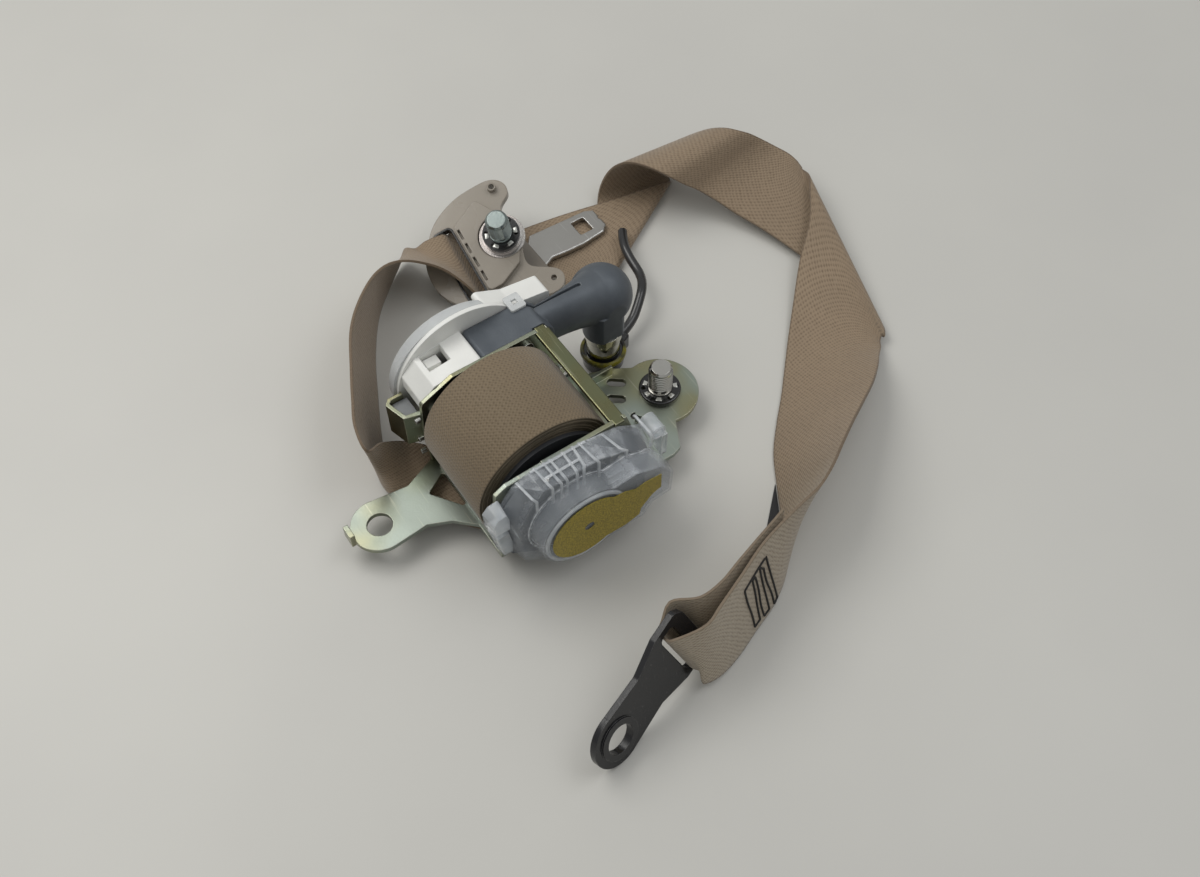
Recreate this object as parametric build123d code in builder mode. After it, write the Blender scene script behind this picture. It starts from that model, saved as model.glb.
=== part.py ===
from build123d import *
import math
import os

# Front seat belt laid on a table: retractor, guide ring, tongue, webbing and end anchor plate.
# Origin: anchor bolt axis, at the flat underside of its head. +X along the spool towards the
# clear cover, +Y towards the bolt lobe, +Z up. Millimetres.

os.makedirs("parts", exist_ok=True)

# Driving dimensions of the frame
BASE_Z = 10.0
BASE_T = 2.5
PLATE_T = 2.0
FAR_X = -28.85
NEAR_X = 33.85
TOP_Z = 66.0
LOBE_R = 19.0
BOLT_HOLE_R = 7.45
TAB_HOLE_R = 6.0
TAB_END_R = 13.5
TAB_Y = -149.2
TAB_X = -10.9

# Driving dimensions of the spool and its webbing
SPOOL_Y = -81.5
SPOOL_Z = 41.0
HUB_R = 18.0
ROLL_R = 34.6
ROLL_X = -22.0
WEB_W = 48.0
WEB_T = 1.2
FLANGE_R = 28.0
FLANGE_T = 2.0
JOURNAL_R = 9.0
TORSION_R = 5.0
TEETH = 24
RATCHET_R = 22.0

# Driving dimensions of the covers
COVER_WALL = 1.6
SKIRT_DEPTH = 12.0
DRUM_DEPTH = 10.0
DRUM_R = 31.0
LABEL_R = 19.0
DOME_R = 34.0
DOME_END_X = -61.0

# Driving dimensions of the bolts
STUD_R = 5.55
SHANK_R = 5.9
SHOULDER_R = 7.4
HEAD_R = 9.8
STUD_TOP = 31.0
RETAINER_R = 10.25

# Driving dimensions of the guide ring, the tongue and the end plate
RING_T = 4.0
RING_SLOT_L = 46.0
RING_SLOT_W = 11.4
BLADE_T = 2.6
END_T = 3.0
END_HOLE_R = 7.2
END_TIP_R = 14.0
END_W = 36.0

# Clearances
RUN = 0.05
GAP = 0.3
SEAT = 0.02

END_Y = SPOOL_Y - ROLL_R + 4.1
GRIP_W = WEB_W + 7
FAR_IN = FAR_X + PLATE_T
NEAR_IN = NEAR_X - PLATE_T
BASE_TOP = BASE_Z + BASE_T
SPOOL_AXIS = Axis((0, SPOOL_Y, SPOOL_Z), (1, 0, 0))
SPOOL_PLANE = Plane(origin=(0, SPOOL_Y, SPOOL_Z), x_dir=(1, 0, 0), z_dir=(0, -1, 0))


def side_plane(x):
    """Plane across the spool at x, with its own axes along Y and Z."""
    return Plane(origin=(x, 0, 0), x_dir=(0, 1, 0), z_dir=(1, 0, 0))


def rounded(points, radius):
    """Closed outline through the points with every corner rounded."""
    with BuildLine() as path:
        FilletPolyline(*points, radius=radius, close=True)
    make_face(path.edges())


def outline(points):
    """Closed outline with sharp corners."""
    with BuildLine() as path:
        Polyline(*points, close=True)
    make_face(path.edges())


def turned(points):
    """Revolve a half profile, given as (x, radius), about the spool axis."""
    with BuildSketch(SPOOL_PLANE) as profile:
        outline(points)
    revolve(profile.sketch, axis=SPOOL_AXIS)


def finish(piece, name):
    """Label a piece and write its file."""
    piece.part.label = name
    export_step(piece.part, "parts/" + name + ".step")


# Mounting frame, folded from one sheet and kept as three pieces: base with window, lobe and tab
BAR_W = 7.0
BAR_T = 1.8
BAR_Y = SPOOL_Y + math.sqrt(ROLL_R ** 2 - (TOP_Z - 2.5 - SPOOL_Z) ** 2) + BAR_W / 2 + 3.2
WINDOW_Y = math.sqrt(ROLL_R ** 2 - (SPOOL_Z - BASE_TOP) ** 2) + 2.5
LIP_H = 6.0
with BuildPart() as mounting_frame:
    with BuildSketch(Plane.XY.offset(BASE_Z)):
        outline([(FAR_X, END_Y), (FAR_X, -25), (-24, -12), (-18.6, -3), (-12, 12), (0, 0), (16.5, -3),
                 (32.3, -11.3), (NEAR_X, -16), (NEAR_X, END_Y)])
        Circle(LOBE_R)
        outline([(FAR_X, END_Y + 1), (-21.7, -128.3), (TAB_X - TAB_END_R, TAB_Y), (TAB_X + TAB_END_R, TAB_Y),
                 (1.3, -131.6), (6, -121), (14.6, END_Y), (14.6, END_Y + 1)])
        with Locations((TAB_X, TAB_Y)):
            Circle(TAB_END_R)
            Circle(TAB_HOLE_R, mode=Mode.SUBTRACT)
        Circle(BOLT_HOLE_R, mode=Mode.SUBTRACT)
    extrude(amount=BASE_T)
    with BuildSketch(Plane.XY.offset(BASE_Z)):
        with Locations((ROLL_X + WEB_W / 2, SPOOL_Y)):
            RectangleRounded(WEB_W + 4, 2 * WINDOW_Y, 3)
        with BuildLine():
            FilletPolyline((-12.5, -122.5), (-19.5, -110.8), (4.5, -110.8), radius=1.2, close=True)
        make_face()
        with Locations(Location((-15.7, -14.8), 51), Location((-7.7, -20.5), 51)):
            SlotOverall(9.5, 4.6)
        with Locations((5.6, -18.8), (17.5, -15.5)):
            Circle(2.0)
    extrude(amount=BASE_T, mode=Mode.SUBTRACT)
    # Upturned lip beside the lobe, bent finger and hook
    with BuildSketch(Plane.XY.offset(BASE_TOP - 0.5)):
        with Locations((-21.6, -19.5)):
            Rectangle(1.8, 12)
        with Locations((11.5, -17.5)):
            Rectangle(9, 1.8, rotation=35)
    extrude(amount=LIP_H + 0.5)
    with BuildSketch(Plane.XY.offset(BASE_Z)):
        with Locations((TAB_X - 1.5, TAB_Y - TAB_END_R - 0.8)):
            Rectangle(7, 2.4)
    extrude(amount=8)
finish(mounting_frame, "mounting_frame")


def bar_notch():
    """Cut the notch that holds the tie bar."""
    with BuildSketch(Plane.YZ.offset(FAR_X - 1)) as notch:
        with Locations((BAR_Y, TOP_Z - 1)):
            Rectangle(BAR_W - 2 + 2 * SEAT, 2 * (BAR_T - 1 + SEAT) + 0.4)
    extrude(notch.sketch, amount=NEAR_X - FAR_X + 2, mode=Mode.SUBTRACT)


# Far side plate of the frame, with the bore for the journal
PLATE_Z = BASE_TOP + SEAT
with BuildPart() as far_plate:
    with BuildSketch(side_plane(FAR_X)):
        rounded([(-25.3, PLATE_Z), (-33, 30), (BAR_Y + 2.9, TOP_Z), (-95.6, TOP_Z), (END_Y - 0.4, 57.8),
                 (END_Y - 1.4, 39), (END_Y, PLATE_Z)], 2.0)
        with Locations((SPOOL_Y, SPOOL_Z)):
            Circle(JOURNAL_R + RUN, mode=Mode.SUBTRACT)
        with Locations((-36, 24)):
            Circle(4, mode=Mode.SUBTRACT)
    extrude(amount=PLATE_T)
    bar_notch()
finish(far_plate, "far_plate")

# Near side plate of the frame, with the toothed bore round the ratchet
with BuildPart() as near_plate:
    with BuildSketch(side_plane(NEAR_IN)):
        outline([(-25.5, PLATE_Z), (-32, 26), (BAR_Y + 4, TOP_Z), (-87.5, TOP_Z), (-88, TOP_Z - 0.8),
                 (-106, TOP_Z - 1.6), (END_Y + 0.4, 61.2), (END_Y - 1.4, 39), (END_Y, PLATE_Z)])
        with Locations((SPOOL_Y, SPOOL_Z)):
            Circle(RATCHET_R, mode=Mode.SUBTRACT)
            with PolarLocations(RATCHET_R - 0.2, TEETH):
                Rectangle(3.2, 2.6, rotation=28, mode=Mode.SUBTRACT)
    extrude(amount=PLATE_T)
    bar_notch()
finish(near_plate, "near_plate")

# Tie bar across the top, with narrow ends riveted in the notches
BAR_Z = TOP_Z - 1 - (BAR_T - 1) - 0.2
with BuildPart() as tie_bar:
    with BuildSketch(Plane.XY.offset(BAR_Z)):
        with Locations(((FAR_X + NEAR_X) / 2, BAR_Y)):
            Rectangle(NEAR_IN - FAR_IN - 2 * SEAT, BAR_W)
            Rectangle(NEAR_X - FAR_X + 1.6, BAR_W - 2)
    extrude(amount=BAR_T)
    fillet(tie_bar.edges().filter_by(Axis.X).group_by(Axis.Z)[-1], 0.5)
finish(tie_bar, "tie_bar")

# Guide bar lying on the end strip under the webbing
GUIDE_R = 1.5
with BuildPart() as guide_bar:
    with BuildSketch(side_plane(-22)):
        with Locations((END_Y + 2.4, BASE_TOP + GUIDE_R + SEAT)):
            Circle(GUIDE_R)
    extrude(amount=44)
    chamfer(guide_bar.faces().sort_by(Axis.X)[0].edges(), 0.4)
    chamfer(guide_bar.faces().sort_by(Axis.X)[-1].edges(), 0.4)
finish(guide_bar, "guide_bar")

# Bent steel bracket on the far side plate, open towards the plate, with a plastic block in it
BRACKET_Z = 36.0
with BuildPart() as side_bracket:
    with BuildSketch(Plane.XY.offset(BRACKET_Z - 10)):
        outline([(FAR_X - SEAT, -104), (FAR_X - SEAT, -106), (-33, -119.5), (-44, -122.5), (-46.8, -120),
                 (-46.8, -113), (-45.2, -113), (-45.2, -119), (-43.8, -120.6), (-34.2, -117.8), (-31.5, -104)])
    extrude(amount=20)
finish(side_bracket, "side_bracket")

with BuildPart() as side_block:
    with BuildSketch(Plane.XY.offset(BRACKET_Z - 7)):
        outline([(-44.9, -118.8), (-43.6, -120.2), (-34.6, -117.4), (-33.0, -111.5), (-44.9, -111.5)])
    extrude(amount=14)
    fillet(side_block.edges().filter_by(Axis.Z), 0.6)
finish(side_block, "side_block")

# Rivet heads on the far plate and small studs on its edge
with BuildPart() as frame_rivets:
    with BuildSketch(side_plane(FAR_IN + SEAT)):
        with Locations((-106, 50), (-57, 60), (-40, 30)):
            Circle(2.9)
    extrude(amount=1.4)
    with BuildSketch(Plane.XZ.offset(-END_Y + 1.6)):
        with Locations((FAR_X + 1, 47), (FAR_X + 1, 33), (FAR_X + 1, 23)):
            Circle(1.3)
    extrude(amount=2.6)
finish(frame_rivets, "frame_rivets")

# Anchor bolt: hexagon head with flange, shoulder in the lobe, free stud
STUD_FROM = 16.0
with BuildPart() as anchor_bolt:
    with BuildSketch(Plane.XY):
        RegularPolygon(HEAD_R, 6)
    extrude(amount=7.6)
    chamfer(anchor_bolt.edges().group_by(Axis.Z)[0], 0.7)
    with BuildSketch(Plane.XZ):
        outline([(0, 6), (HEAD_R - 1, 6), (11.5, 7.6), (11.5, BASE_Z - RUN), (SHOULDER_R, BASE_Z - RUN),
                 (SHOULDER_R, BASE_TOP + 0.1), (SHANK_R, BASE_TOP + 0.1), (SHANK_R, STUD_FROM),
                 (STUD_R, STUD_FROM), (STUD_R, STUD_TOP - 1), (STUD_R - 1, STUD_TOP), (0, STUD_TOP)])
    revolve(axis=Axis.Z)
finish(anchor_bolt, "anchor_bolt")

# Black push-on ring with windows, kept on the shank
with BuildPart() as bolt_retainer:
    with BuildSketch(Plane.XY.offset(BASE_TOP + 0.15)):
        Circle(RETAINER_R)
        Circle(SHANK_R + RUN, mode=Mode.SUBTRACT)
    extrude(amount=2.6)
    with BuildSketch(Plane.XY.offset(BASE_TOP + 0.15)):
        with PolarLocations(RETAINER_R - 2.2, 6):
            Circle(1.1)
    extrude(amount=2.6, mode=Mode.SUBTRACT)
    fillet(bolt_retainer.faces().sort_by(Axis.Z)[-1].edges().sort_by(SortBy.LENGTH)[-1], 0.8)
finish(bolt_retainer, "bolt_retainer")

# Spool: hub, two flanges and journals, bored for the torsion bar
ROLL_END = ROLL_X + WEB_W
FLANGE_FAR = ROLL_X - 0.8
FLANGE_NEAR = ROLL_END + 0.8
JOURNAL_FAR = FAR_X - 6
JOURNAL_NEAR = NEAR_X + 3
with BuildPart() as spool:
    turned([(JOURNAL_FAR, TORSION_R + RUN), (JOURNAL_FAR, JOURNAL_R), (FLANGE_FAR - FLANGE_T, JOURNAL_R),
            (FLANGE_FAR - FLANGE_T, FLANGE_R), (FLANGE_FAR, FLANGE_R), (FLANGE_FAR, HUB_R),
            (FLANGE_NEAR, HUB_R), (FLANGE_NEAR, FLANGE_R), (FLANGE_NEAR + FLANGE_T, FLANGE_R),
            (FLANGE_NEAR + FLANGE_T, JOURNAL_R), (JOURNAL_NEAR, JOURNAL_R), (JOURNAL_NEAR, TORSION_R + RUN)])
finish(spool, "spool")

# Torsion bar with a splined head outside each journal
with BuildPart() as torsion_bar:
    turned([(JOURNAL_FAR - 9, 0), (JOURNAL_FAR - 9, TORSION_R - 1), (JOURNAL_FAR, TORSION_R - 1),
            (JOURNAL_FAR, TORSION_R), (-12, TORSION_R), (-10, TORSION_R - 1), (14, TORSION_R - 1),
            (16, TORSION_R), (JOURNAL_NEAR + 12, TORSION_R), (JOURNAL_NEAR + 12, 0)])
finish(torsion_bar, "torsion_bar")

# Wound webbing, with the seam line of the loose end as a shallow step
with BuildPart() as webbing_roll:
    turned([(ROLL_X, HUB_R + SEAT), (ROLL_X, ROLL_R), (ROLL_END, ROLL_R), (ROLL_END, HUB_R + SEAT)])
    fillet(webbing_roll.edges().filter_by(GeomType.CIRCLE).sort_by(SortBy.RADIUS)[-2:], 0.6)
finish(webbing_roll, "webbing_roll")

# Lock gear with ratchet teeth, on the torsion bar against the spool
GEAR_R = 20.0
GEAR_X = JOURNAL_NEAR + SEAT
with BuildPart() as lock_gear:
    with BuildSketch(side_plane(GEAR_X)):
        with Locations((SPOOL_Y, SPOOL_Z)):
            Circle(GEAR_R)
            with PolarLocations(GEAR_R - 0.6, 18):
                Rectangle(3.4, 2.4, rotation=-32, mode=Mode.SUBTRACT)
            Circle(TORSION_R + RUN, mode=Mode.SUBTRACT)
    extrude(amount=3.4)
finish(lock_gear, "lock_gear")

# Steering disc: thin toothed disc outside the lock gear
DISC_R = 24.0
DISC_X = GEAR_X + 3.4 + SEAT
with BuildPart() as steering_disc:
    with BuildSketch(side_plane(DISC_X)):
        with Locations((SPOOL_Y, SPOOL_Z)):
            Circle(DISC_R)
            with PolarLocations(DISC_R - 0.3, 36):
                Rectangle(2.0, 1.6, rotation=-30, mode=Mode.SUBTRACT)
            Circle(TORSION_R + RUN, mode=Mode.SUBTRACT)
            with PolarLocations(15, 5):
                Circle(3.2, mode=Mode.SUBTRACT)
    extrude(amount=2.2)
finish(steering_disc, "steering_disc")

# Sensor base: dark plate on the near side plate that carries the spool journal
BASE_PLATE_T = 2.0
BASE_PLATE_X = NEAR_X + SEAT
skirt_points = [(-113, 52), (-104, 63.5), (-50, 64), (-37, 54), (-31, 32), (-32, 12), (-44, 0.8),
                (-96, 0.8), (-110, 12)]
with BuildPart() as sensor_base:
    with BuildSketch(side_plane(BASE_PLATE_X)):
        rounded(skirt_points, 6)
        offset(amount=-COVER_WALL - GAP, mode=Mode.REPLACE)
        with Locations((SPOOL_Y, SPOOL_Z)):
            Circle(JOURNAL_R + RUN, mode=Mode.SUBTRACT)
    extrude(amount=BASE_PLATE_T)
finish(sensor_base, "sensor_base")
INNER_X = BASE_PLATE_X + BASE_PLATE_T

# Locking pawl on its pin, just clear of the lock gear
PAWL_Y = -52.0
PAWL_Z = 48.0
PAWL_PIN_R = 2.0
with BuildPart() as pawl_pin:
    with BuildSketch(side_plane(INNER_X + SEAT)):
        with Locations((PAWL_Y, PAWL_Z)):
            Circle(PAWL_PIN_R)
    extrude(amount=6.0)
    with BuildSketch(side_plane(INNER_X + SEAT + 4.6)):
        with Locations((PAWL_Y, PAWL_Z)):
            Circle(PAWL_PIN_R + 1.2)
    extrude(amount=1.4)
finish(pawl_pin, "pawl_pin")

with BuildPart() as locking_pawl:
    with BuildSketch(side_plane(INNER_X + 0.4)):
        outline([(PAWL_Y + 4, PAWL_Z + 2), (PAWL_Y - 1, PAWL_Z + 4.5), (PAWL_Y - 5, PAWL_Z + 5), (-58.5, 33),
                 (-59.6, 30.4), (-56, 31.5), (PAWL_Y - 1, PAWL_Z - 6), (PAWL_Y + 4, PAWL_Z - 3)])
        with Locations((PAWL_Y, PAWL_Z)):
            Circle(PAWL_PIN_R + RUN, mode=Mode.SUBTRACT)
    extrude(amount=3.8)
finish(locking_pawl, "locking_pawl")

# Vehicle motion sensor: cage, ball and lever
CAGE_Y = -48.0
CAGE_Z = 8.0
CAGE_W = 14.0
BALL_R = 2.8
CAGE_X = INNER_X + SEAT
CAGE_D = 8.2
BALL_X = CAGE_X + CAGE_D / 2
with BuildPart() as sensor_housing:
    with BuildSketch(Plane.XY.offset(CAGE_Z)):
        with Locations((BALL_X, CAGE_Y)):
            RectangleRounded(CAGE_D, CAGE_W, 1.5)
    extrude(amount=16)
    with BuildSketch(Plane.XY.offset(CAGE_Z + 2)):
        with Locations((BALL_X, CAGE_Y)):
            Rectangle(CAGE_D - 2.6, CAGE_W - 2.6)
    extrude(amount=14, mode=Mode.SUBTRACT)
    with BuildSketch(Plane.XZ.offset(-CAGE_Y - CAGE_W)):
        with Locations((BALL_X, CAGE_Z + 9)):
            Rectangle(4.4, 5)
    extrude(amount=2 * CAGE_W, mode=Mode.SUBTRACT)
finish(sensor_housing, "sensor_housing")

BALL_Z = CAGE_Z + 2 + BALL_R + SEAT
with BuildPart() as sensor_ball:
    with Locations((BALL_X, CAGE_Y, BALL_Z)):
        Sphere(BALL_R)
finish(sensor_ball, "sensor_ball")

LEVER_Z = CAGE_Z + 16 + 2.2
LEVER_Y = CAGE_Y + CAGE_W / 2 - 2.0
PIVOT_R = 1.2
with BuildPart() as sensor_lever:
    with BuildSketch(side_plane(BALL_X - 2)):
        outline([(LEVER_Y + 2.6, LEVER_Z - 1.6), (LEVER_Y + 2.6, LEVER_Z + 1.8), (CAGE_Y - 3, LEVER_Z + 1.6),
                 (CAGE_Y - 4.8, LEVER_Z + 2.8), (CAGE_Y - 5.6, LEVER_Z + 2.0), (CAGE_Y - 4, LEVER_Z - 1.2)])
        with Locations((LEVER_Y, LEVER_Z)):
            Circle(PIVOT_R + RUN, mode=Mode.SUBTRACT)
    extrude(amount=4)
finish(sensor_lever, "sensor_lever")

with BuildPart() as lever_pin:
    with BuildSketch(side_plane(CAGE_X)):
        with Locations((LEVER_Y, LEVER_Z)):
            Circle(PIVOT_R)
    extrude(amount=CAGE_D)
    for x in (CAGE_X, CAGE_X + CAGE_D - 1.4):
        with BuildSketch(side_plane(x)):
            with Locations((LEVER_Y, LEVER_Z - 0.35)):
                Rectangle(4, 3.7)
        extrude(amount=1.4)
finish(lever_pin, "lever_pin")

# Clear cover: skirt, drum with extension for the label, ridge, ribs, catch and posts
COVER_X = NEAR_X + SEAT
DRUM_X = COVER_X + SKIRT_DEPTH
FACE_X = DRUM_X + DRUM_DEPTH
DRUM_Y = SPOOL_Y + 2.5
ARM_W = 17.0
ARM_Y = -36.0


def drum_outline(inset):
    """Front outline of the cover: a circle with an arm towards the bolt."""
    with Locations((DRUM_Y, SPOOL_Z)):
        Circle(DRUM_R - inset)
    with BuildLine() as arm:
        FilletPolyline((DRUM_Y, SPOOL_Z - DRUM_R + inset), (ARM_Y - inset, 22 + inset),
                       (ARM_Y - inset, 22 + 2 * ARM_W - inset), (DRUM_Y + 12, SPOOL_Z + DRUM_R - 2.4 - inset),
                       (DRUM_Y, SPOOL_Z), radius=3, close=True)
    make_face(arm.edges())


with BuildPart() as clear_cover:
    with BuildSketch(side_plane(COVER_X)):
        rounded(skirt_points, 6)
    extrude(amount=SKIRT_DEPTH)
    chamfer(clear_cover.faces().sort_by(Axis.X)[-1].edges(), 2.0)
    with BuildSketch(side_plane(DRUM_X - 0.5)):
        drum_outline(0)
    extrude(amount=DRUM_DEPTH - 1.0)
    with BuildSketch(side_plane(DRUM_X - 0.5)):
        drum_outline(1.4)
    extrude(amount=DRUM_DEPTH + 0.5)
    # Ribs across the top of the skirt and upright ribs on its left
    for y in (-66, -73, -80, -90, -97):
        with BuildSketch(Plane.XZ.offset(-y - 0.7)):
            outline([(COVER_X, 63), (COVER_X, 65.2), (COVER_X + SKIRT_DEPTH + 4, 65.2), (FACE_X - 2, 60),
                     (FACE_X - 2, 50), (COVER_X + 6, 50)])
        extrude(amount=1.4)
    # Raised rectangular bosses in front of the ribs
    with BuildSketch(side_plane(DRUM_X - 1)):
        with Locations((-68, 57), (-104, 50)):
            RectangleRounded(10, 8, 1)
    extrude(amount=5)
    # Corner catches and posts
    with BuildSketch(side_plane(COVER_X)):
        with Locations((-113.5, 44)):
            RectangleRounded(6, 15, 2)
        with Locations((-34, 54)):
            Circle(4.5)
        with Locations((-29.5, 40)):
            RectangleRounded(4, 16, 1.5)
    extrude(amount=9)
    with BuildSketch(side_plane(COVER_X)):
        rounded(skirt_points, 6)
        offset(amount=-COVER_WALL, mode=Mode.REPLACE)
    extrude(amount=SKIRT_DEPTH - COVER_WALL, mode=Mode.SUBTRACT)
    with BuildSketch(side_plane(COVER_X + 1)):
        drum_outline(COVER_WALL)
    extrude(amount=FACE_X - COVER_X - 1 - COVER_WALL, mode=Mode.SUBTRACT)
    # Ridge round the label
    with BuildSketch(side_plane(FACE_X)):
        with Locations((DRUM_Y - 1, SPOOL_Z)):
            Circle(26.5)
            Circle(25, mode=Mode.SUBTRACT)
        with Locations((DRUM_Y + 25, SPOOL_Z - 5)):
            Rectangle(16, 17, mode=Mode.SUBTRACT)
    extrude(amount=1.2)
finish(clear_cover, "clear_cover")

# Blank label: disc with a tab towards the bolt, and a centre hole
with BuildPart() as cover_label:
    with BuildSketch(side_plane(FACE_X + SEAT)):
        with Locations((SPOOL_Y, SPOOL_Z - 1)):
            Circle(LABEL_R)
        with Locations((SPOOL_Y + 26.5, SPOOL_Z - 5)):
            Rectangle(9, 15)
        with Locations((SPOOL_Y + 1.5, SPOOL_Z)):
            Circle(2.6, mode=Mode.SUBTRACT)
    extrude(amount=0.4)
finish(cover_label, "cover_label")

# Drive wheel of the pretensioner on the far journal
WHEEL_X = FAR_X - 4.6
WHEEL_R = 16.0
with BuildPart() as drive_wheel:
    with BuildSketch(side_plane(WHEEL_X - 1.3)):
        with Locations((SPOOL_Y, SPOOL_Z)):
            Circle(WHEEL_R)
            with PolarLocations(WHEEL_R + 1.5, 11):
                Circle(3.4, mode=Mode.SUBTRACT)
            Circle(JOURNAL_R + RUN, mode=Mode.SUBTRACT)
    extrude(amount=4.5)
finish(drive_wheel, "drive_wheel")

# Pretensioner housing: die-cast block beside the far plate, tube and bulb
CAST_X0 = -47.5
CAST_X1 = FAR_X - SEAT
BULB_X = -43.5
BULB_Y = -5.0
BULB_Z = 45.0
BULB_R = 15.5
TUBE_X = -39.2
TUBE_Z = 52.0
TUBE_R = 12.0
GEN_X = -37.5
GEN_Y = -7.5
GEN_R = 8.4
SOCKET_Z = 27.0
with BuildPart() as tensioner_housing:
    with BuildSketch(side_plane(CAST_X0)):
        rounded([(SPOOL_Y + 2.5, 66), (-46, 66), (-41, 60), (-40, 50), (-44, 26), (-56, 9), (SPOOL_Y + 2.5, 9)], 2)
        with Locations((SPOOL_Y, SPOOL_Z)):
            Circle(WHEEL_R + 4.5, mode=Mode.SUBTRACT)
    extrude(amount=CAST_X1 - CAST_X0)
    chamfer(tensioner_housing.faces().sort_by(Axis.X)[0].edges(), 1.4)
    tube_plane = Plane(origin=(TUBE_X, -50, TUBE_Z), x_dir=(1, 0, 0), z_dir=(0, 1, 0))
    with BuildSketch(tube_plane):
        Ellipse(7.6, TUBE_R)
    with BuildSketch(tube_plane.offset(22)):
        with Locations((-1.0, 1)):
            Ellipse(8.8, TUBE_R)
    with BuildSketch(tube_plane.offset(45)):
        with Locations((BULB_X - TUBE_X, TUBE_Z - BULB_Z)):
            Circle(BULB_R - 0.3)
    loft()
    with Locations((BULB_X, BULB_Y, BULB_Z)):
        Sphere(BULB_R)
    with BuildSketch(Plane.XY.offset(SOCKET_Z)):
        with Locations((GEN_X, GEN_Y)):
            Circle(GEN_R + 1.8)
    extrude(amount=BULB_Z - SOCKET_Z)
    split(bisect_by=Plane(origin=(CAST_X1, 0, 0), z_dir=(-1, 0, 0)), keep=Keep.TOP)
    with BuildSketch(Plane.XY.offset(62.5)):
        with Locations((CAST_X1, BAR_Y)):
            Rectangle(2.4, BAR_W)
    extrude(amount=6, mode=Mode.SUBTRACT)
    # Long groove along the top of the tube
    with BuildSketch(Plane(origin=(-43.5, -32, 66.5), x_dir=(0, 1, -0.1), z_dir=(-0.25, 0, 1))):
        SlotOverall(30, 2.4)
    extrude(amount=-6.5, mode=Mode.SUBTRACT)
finish(tensioner_housing, "tensioner_housing")

# Gas generator: metal can standing in the socket under the bulb
with BuildPart() as gas_generator:
    with BuildSketch(Plane(origin=(GEN_X, GEN_Y, 0), x_dir=(1, 0, 0), z_dir=(0, -1, 0))):
        outline([(0, 11), (GEN_R - 1.2, 11), (GEN_R, 12.5), (GEN_R, 22), (GEN_R + 0.8, 22.6),
                 (GEN_R + 0.8, SOCKET_Z - SEAT), (0, SOCKET_Z - SEAT)])
    revolve(axis=Axis((GEN_X, GEN_Y, 0), (0, 0, 1)))
finish(gas_generator, "gas_generator")

# Squib connector: collar with a flat side arm under the can
CONN_R = 10.4
CONN_Z = 3.0
with BuildPart() as squib_connector:
    with BuildSketch(Plane.XY.offset(CONN_Z)):
        with Locations((GEN_X, GEN_Y)):
            Circle(CONN_R)
        with Locations(Location((GEN_X - 3, GEN_Y + 9), 20)):
            RectangleRounded(11, 12, 2)
    extrude(amount=11 - SEAT - CONN_Z)
    chamfer(squib_connector.faces().sort_by(Axis.Z)[-1].edges(), 0.8)
finish(squib_connector, "squib_connector")

# Far side cover: backing disc, block with latch window, arm towards the bolt
DISC_COVER_X = CAST_X0 - SEAT
DISC_COVER_T = 2.2
BLOCK_Y0 = -111.0
with BuildPart() as spring_cover:
    with BuildSketch(side_plane(DISC_COVER_X - DISC_COVER_T)):
        with Locations((SPOOL_Y + 2.5, SPOOL_Z)):
            Circle(DOME_R + 1)
    extrude(amount=DISC_COVER_T)
    with BuildSketch(side_plane(DISC_COVER_X - DISC_COVER_T)):
        rounded([(BLOCK_Y0, 47), (BLOCK_Y0, 55), (-104, 63), (SPOOL_Y + 2.3, 66), (SPOOL_Y + 2.3, 9),
                 (-98, 14), (-100.5, 47)], 1.5)
    extrude(amount=FAR_X - SEAT - DISC_COVER_X + DISC_COVER_T)
    with BuildSketch(side_plane(-61)):
        rounded([(-66, 70), (-50, 62), (-30, 59), (-30, 45), (-50, 47), (-62, 52)], 2)
    extrude(amount=-DISC_COVER_T + DISC_COVER_X + 61)
    with BuildSketch(side_plane(CAST_X0)):
        with Locations((SPOOL_Y, SPOOL_Z)):
            Circle(WHEEL_R + 4.5)
    extrude(amount=30, mode=Mode.SUBTRACT)
    with BuildSketch(side_plane(-70)):
        with Locations((SPOOL_Y, SPOOL_Z)):
            Circle(6)
    extrude(amount=30, mode=Mode.SUBTRACT)
    # Latch window: a recess with a raised tongue
    with BuildSketch(Plane.XY.offset(66)):
        with Locations((-42, -96)):
            Rectangle(10, 11)
    extrude(amount=-8, mode=Mode.SUBTRACT)
    with BuildSketch(Plane.XY.offset(57)):
        with Locations((-43.5, -97)):
            Rectangle(5, 7)
    extrude(amount=3.5)
finish(spring_cover, "spring_cover")

# Milky dome over the return spring
DOME_X = DISC_COVER_X - DISC_COVER_T - SEAT
DOME_WALL = 1.5
with BuildPart() as spring_dome:
    turned([(DOME_X, DOME_R - DOME_WALL), (DOME_X, DOME_R), (DOME_X - 6, DOME_R - 1), (DOME_END_X, DOME_R - 9),
            (DOME_END_X, 0), (DOME_END_X + DOME_WALL, 0), (DOME_END_X + DOME_WALL, DOME_R - 9.6),
            (DOME_X - 5.2, DOME_R - 2.5)])
    with BuildSketch(side_plane(-62)):
        rounded([(-66.5, 70.7), (-50, 62.7), (-20, 58.7), (-20, 43), (-49.5, 46), (-62.5, 51)], 2)
    extrude(amount=13, mode=Mode.SUBTRACT)
finish(spring_dome, "spring_dome")

# Spring arbor on the torsion bar, and the flat spiral return spring round it
ARBOR_R = 6.5
ARBOR_X = DOME_END_X + DOME_WALL + 0.6
with BuildPart() as spring_arbor:
    turned([(ARBOR_X, 0), (ARBOR_X, ARBOR_R), (DOME_X - 0.5, ARBOR_R), (DOME_X - 0.5, 4.5),
            (JOURNAL_FAR - 9 - SEAT, 4.5), (JOURNAL_FAR - 9 - SEAT, 0)])
finish(spring_arbor, "spring_arbor")

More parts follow.
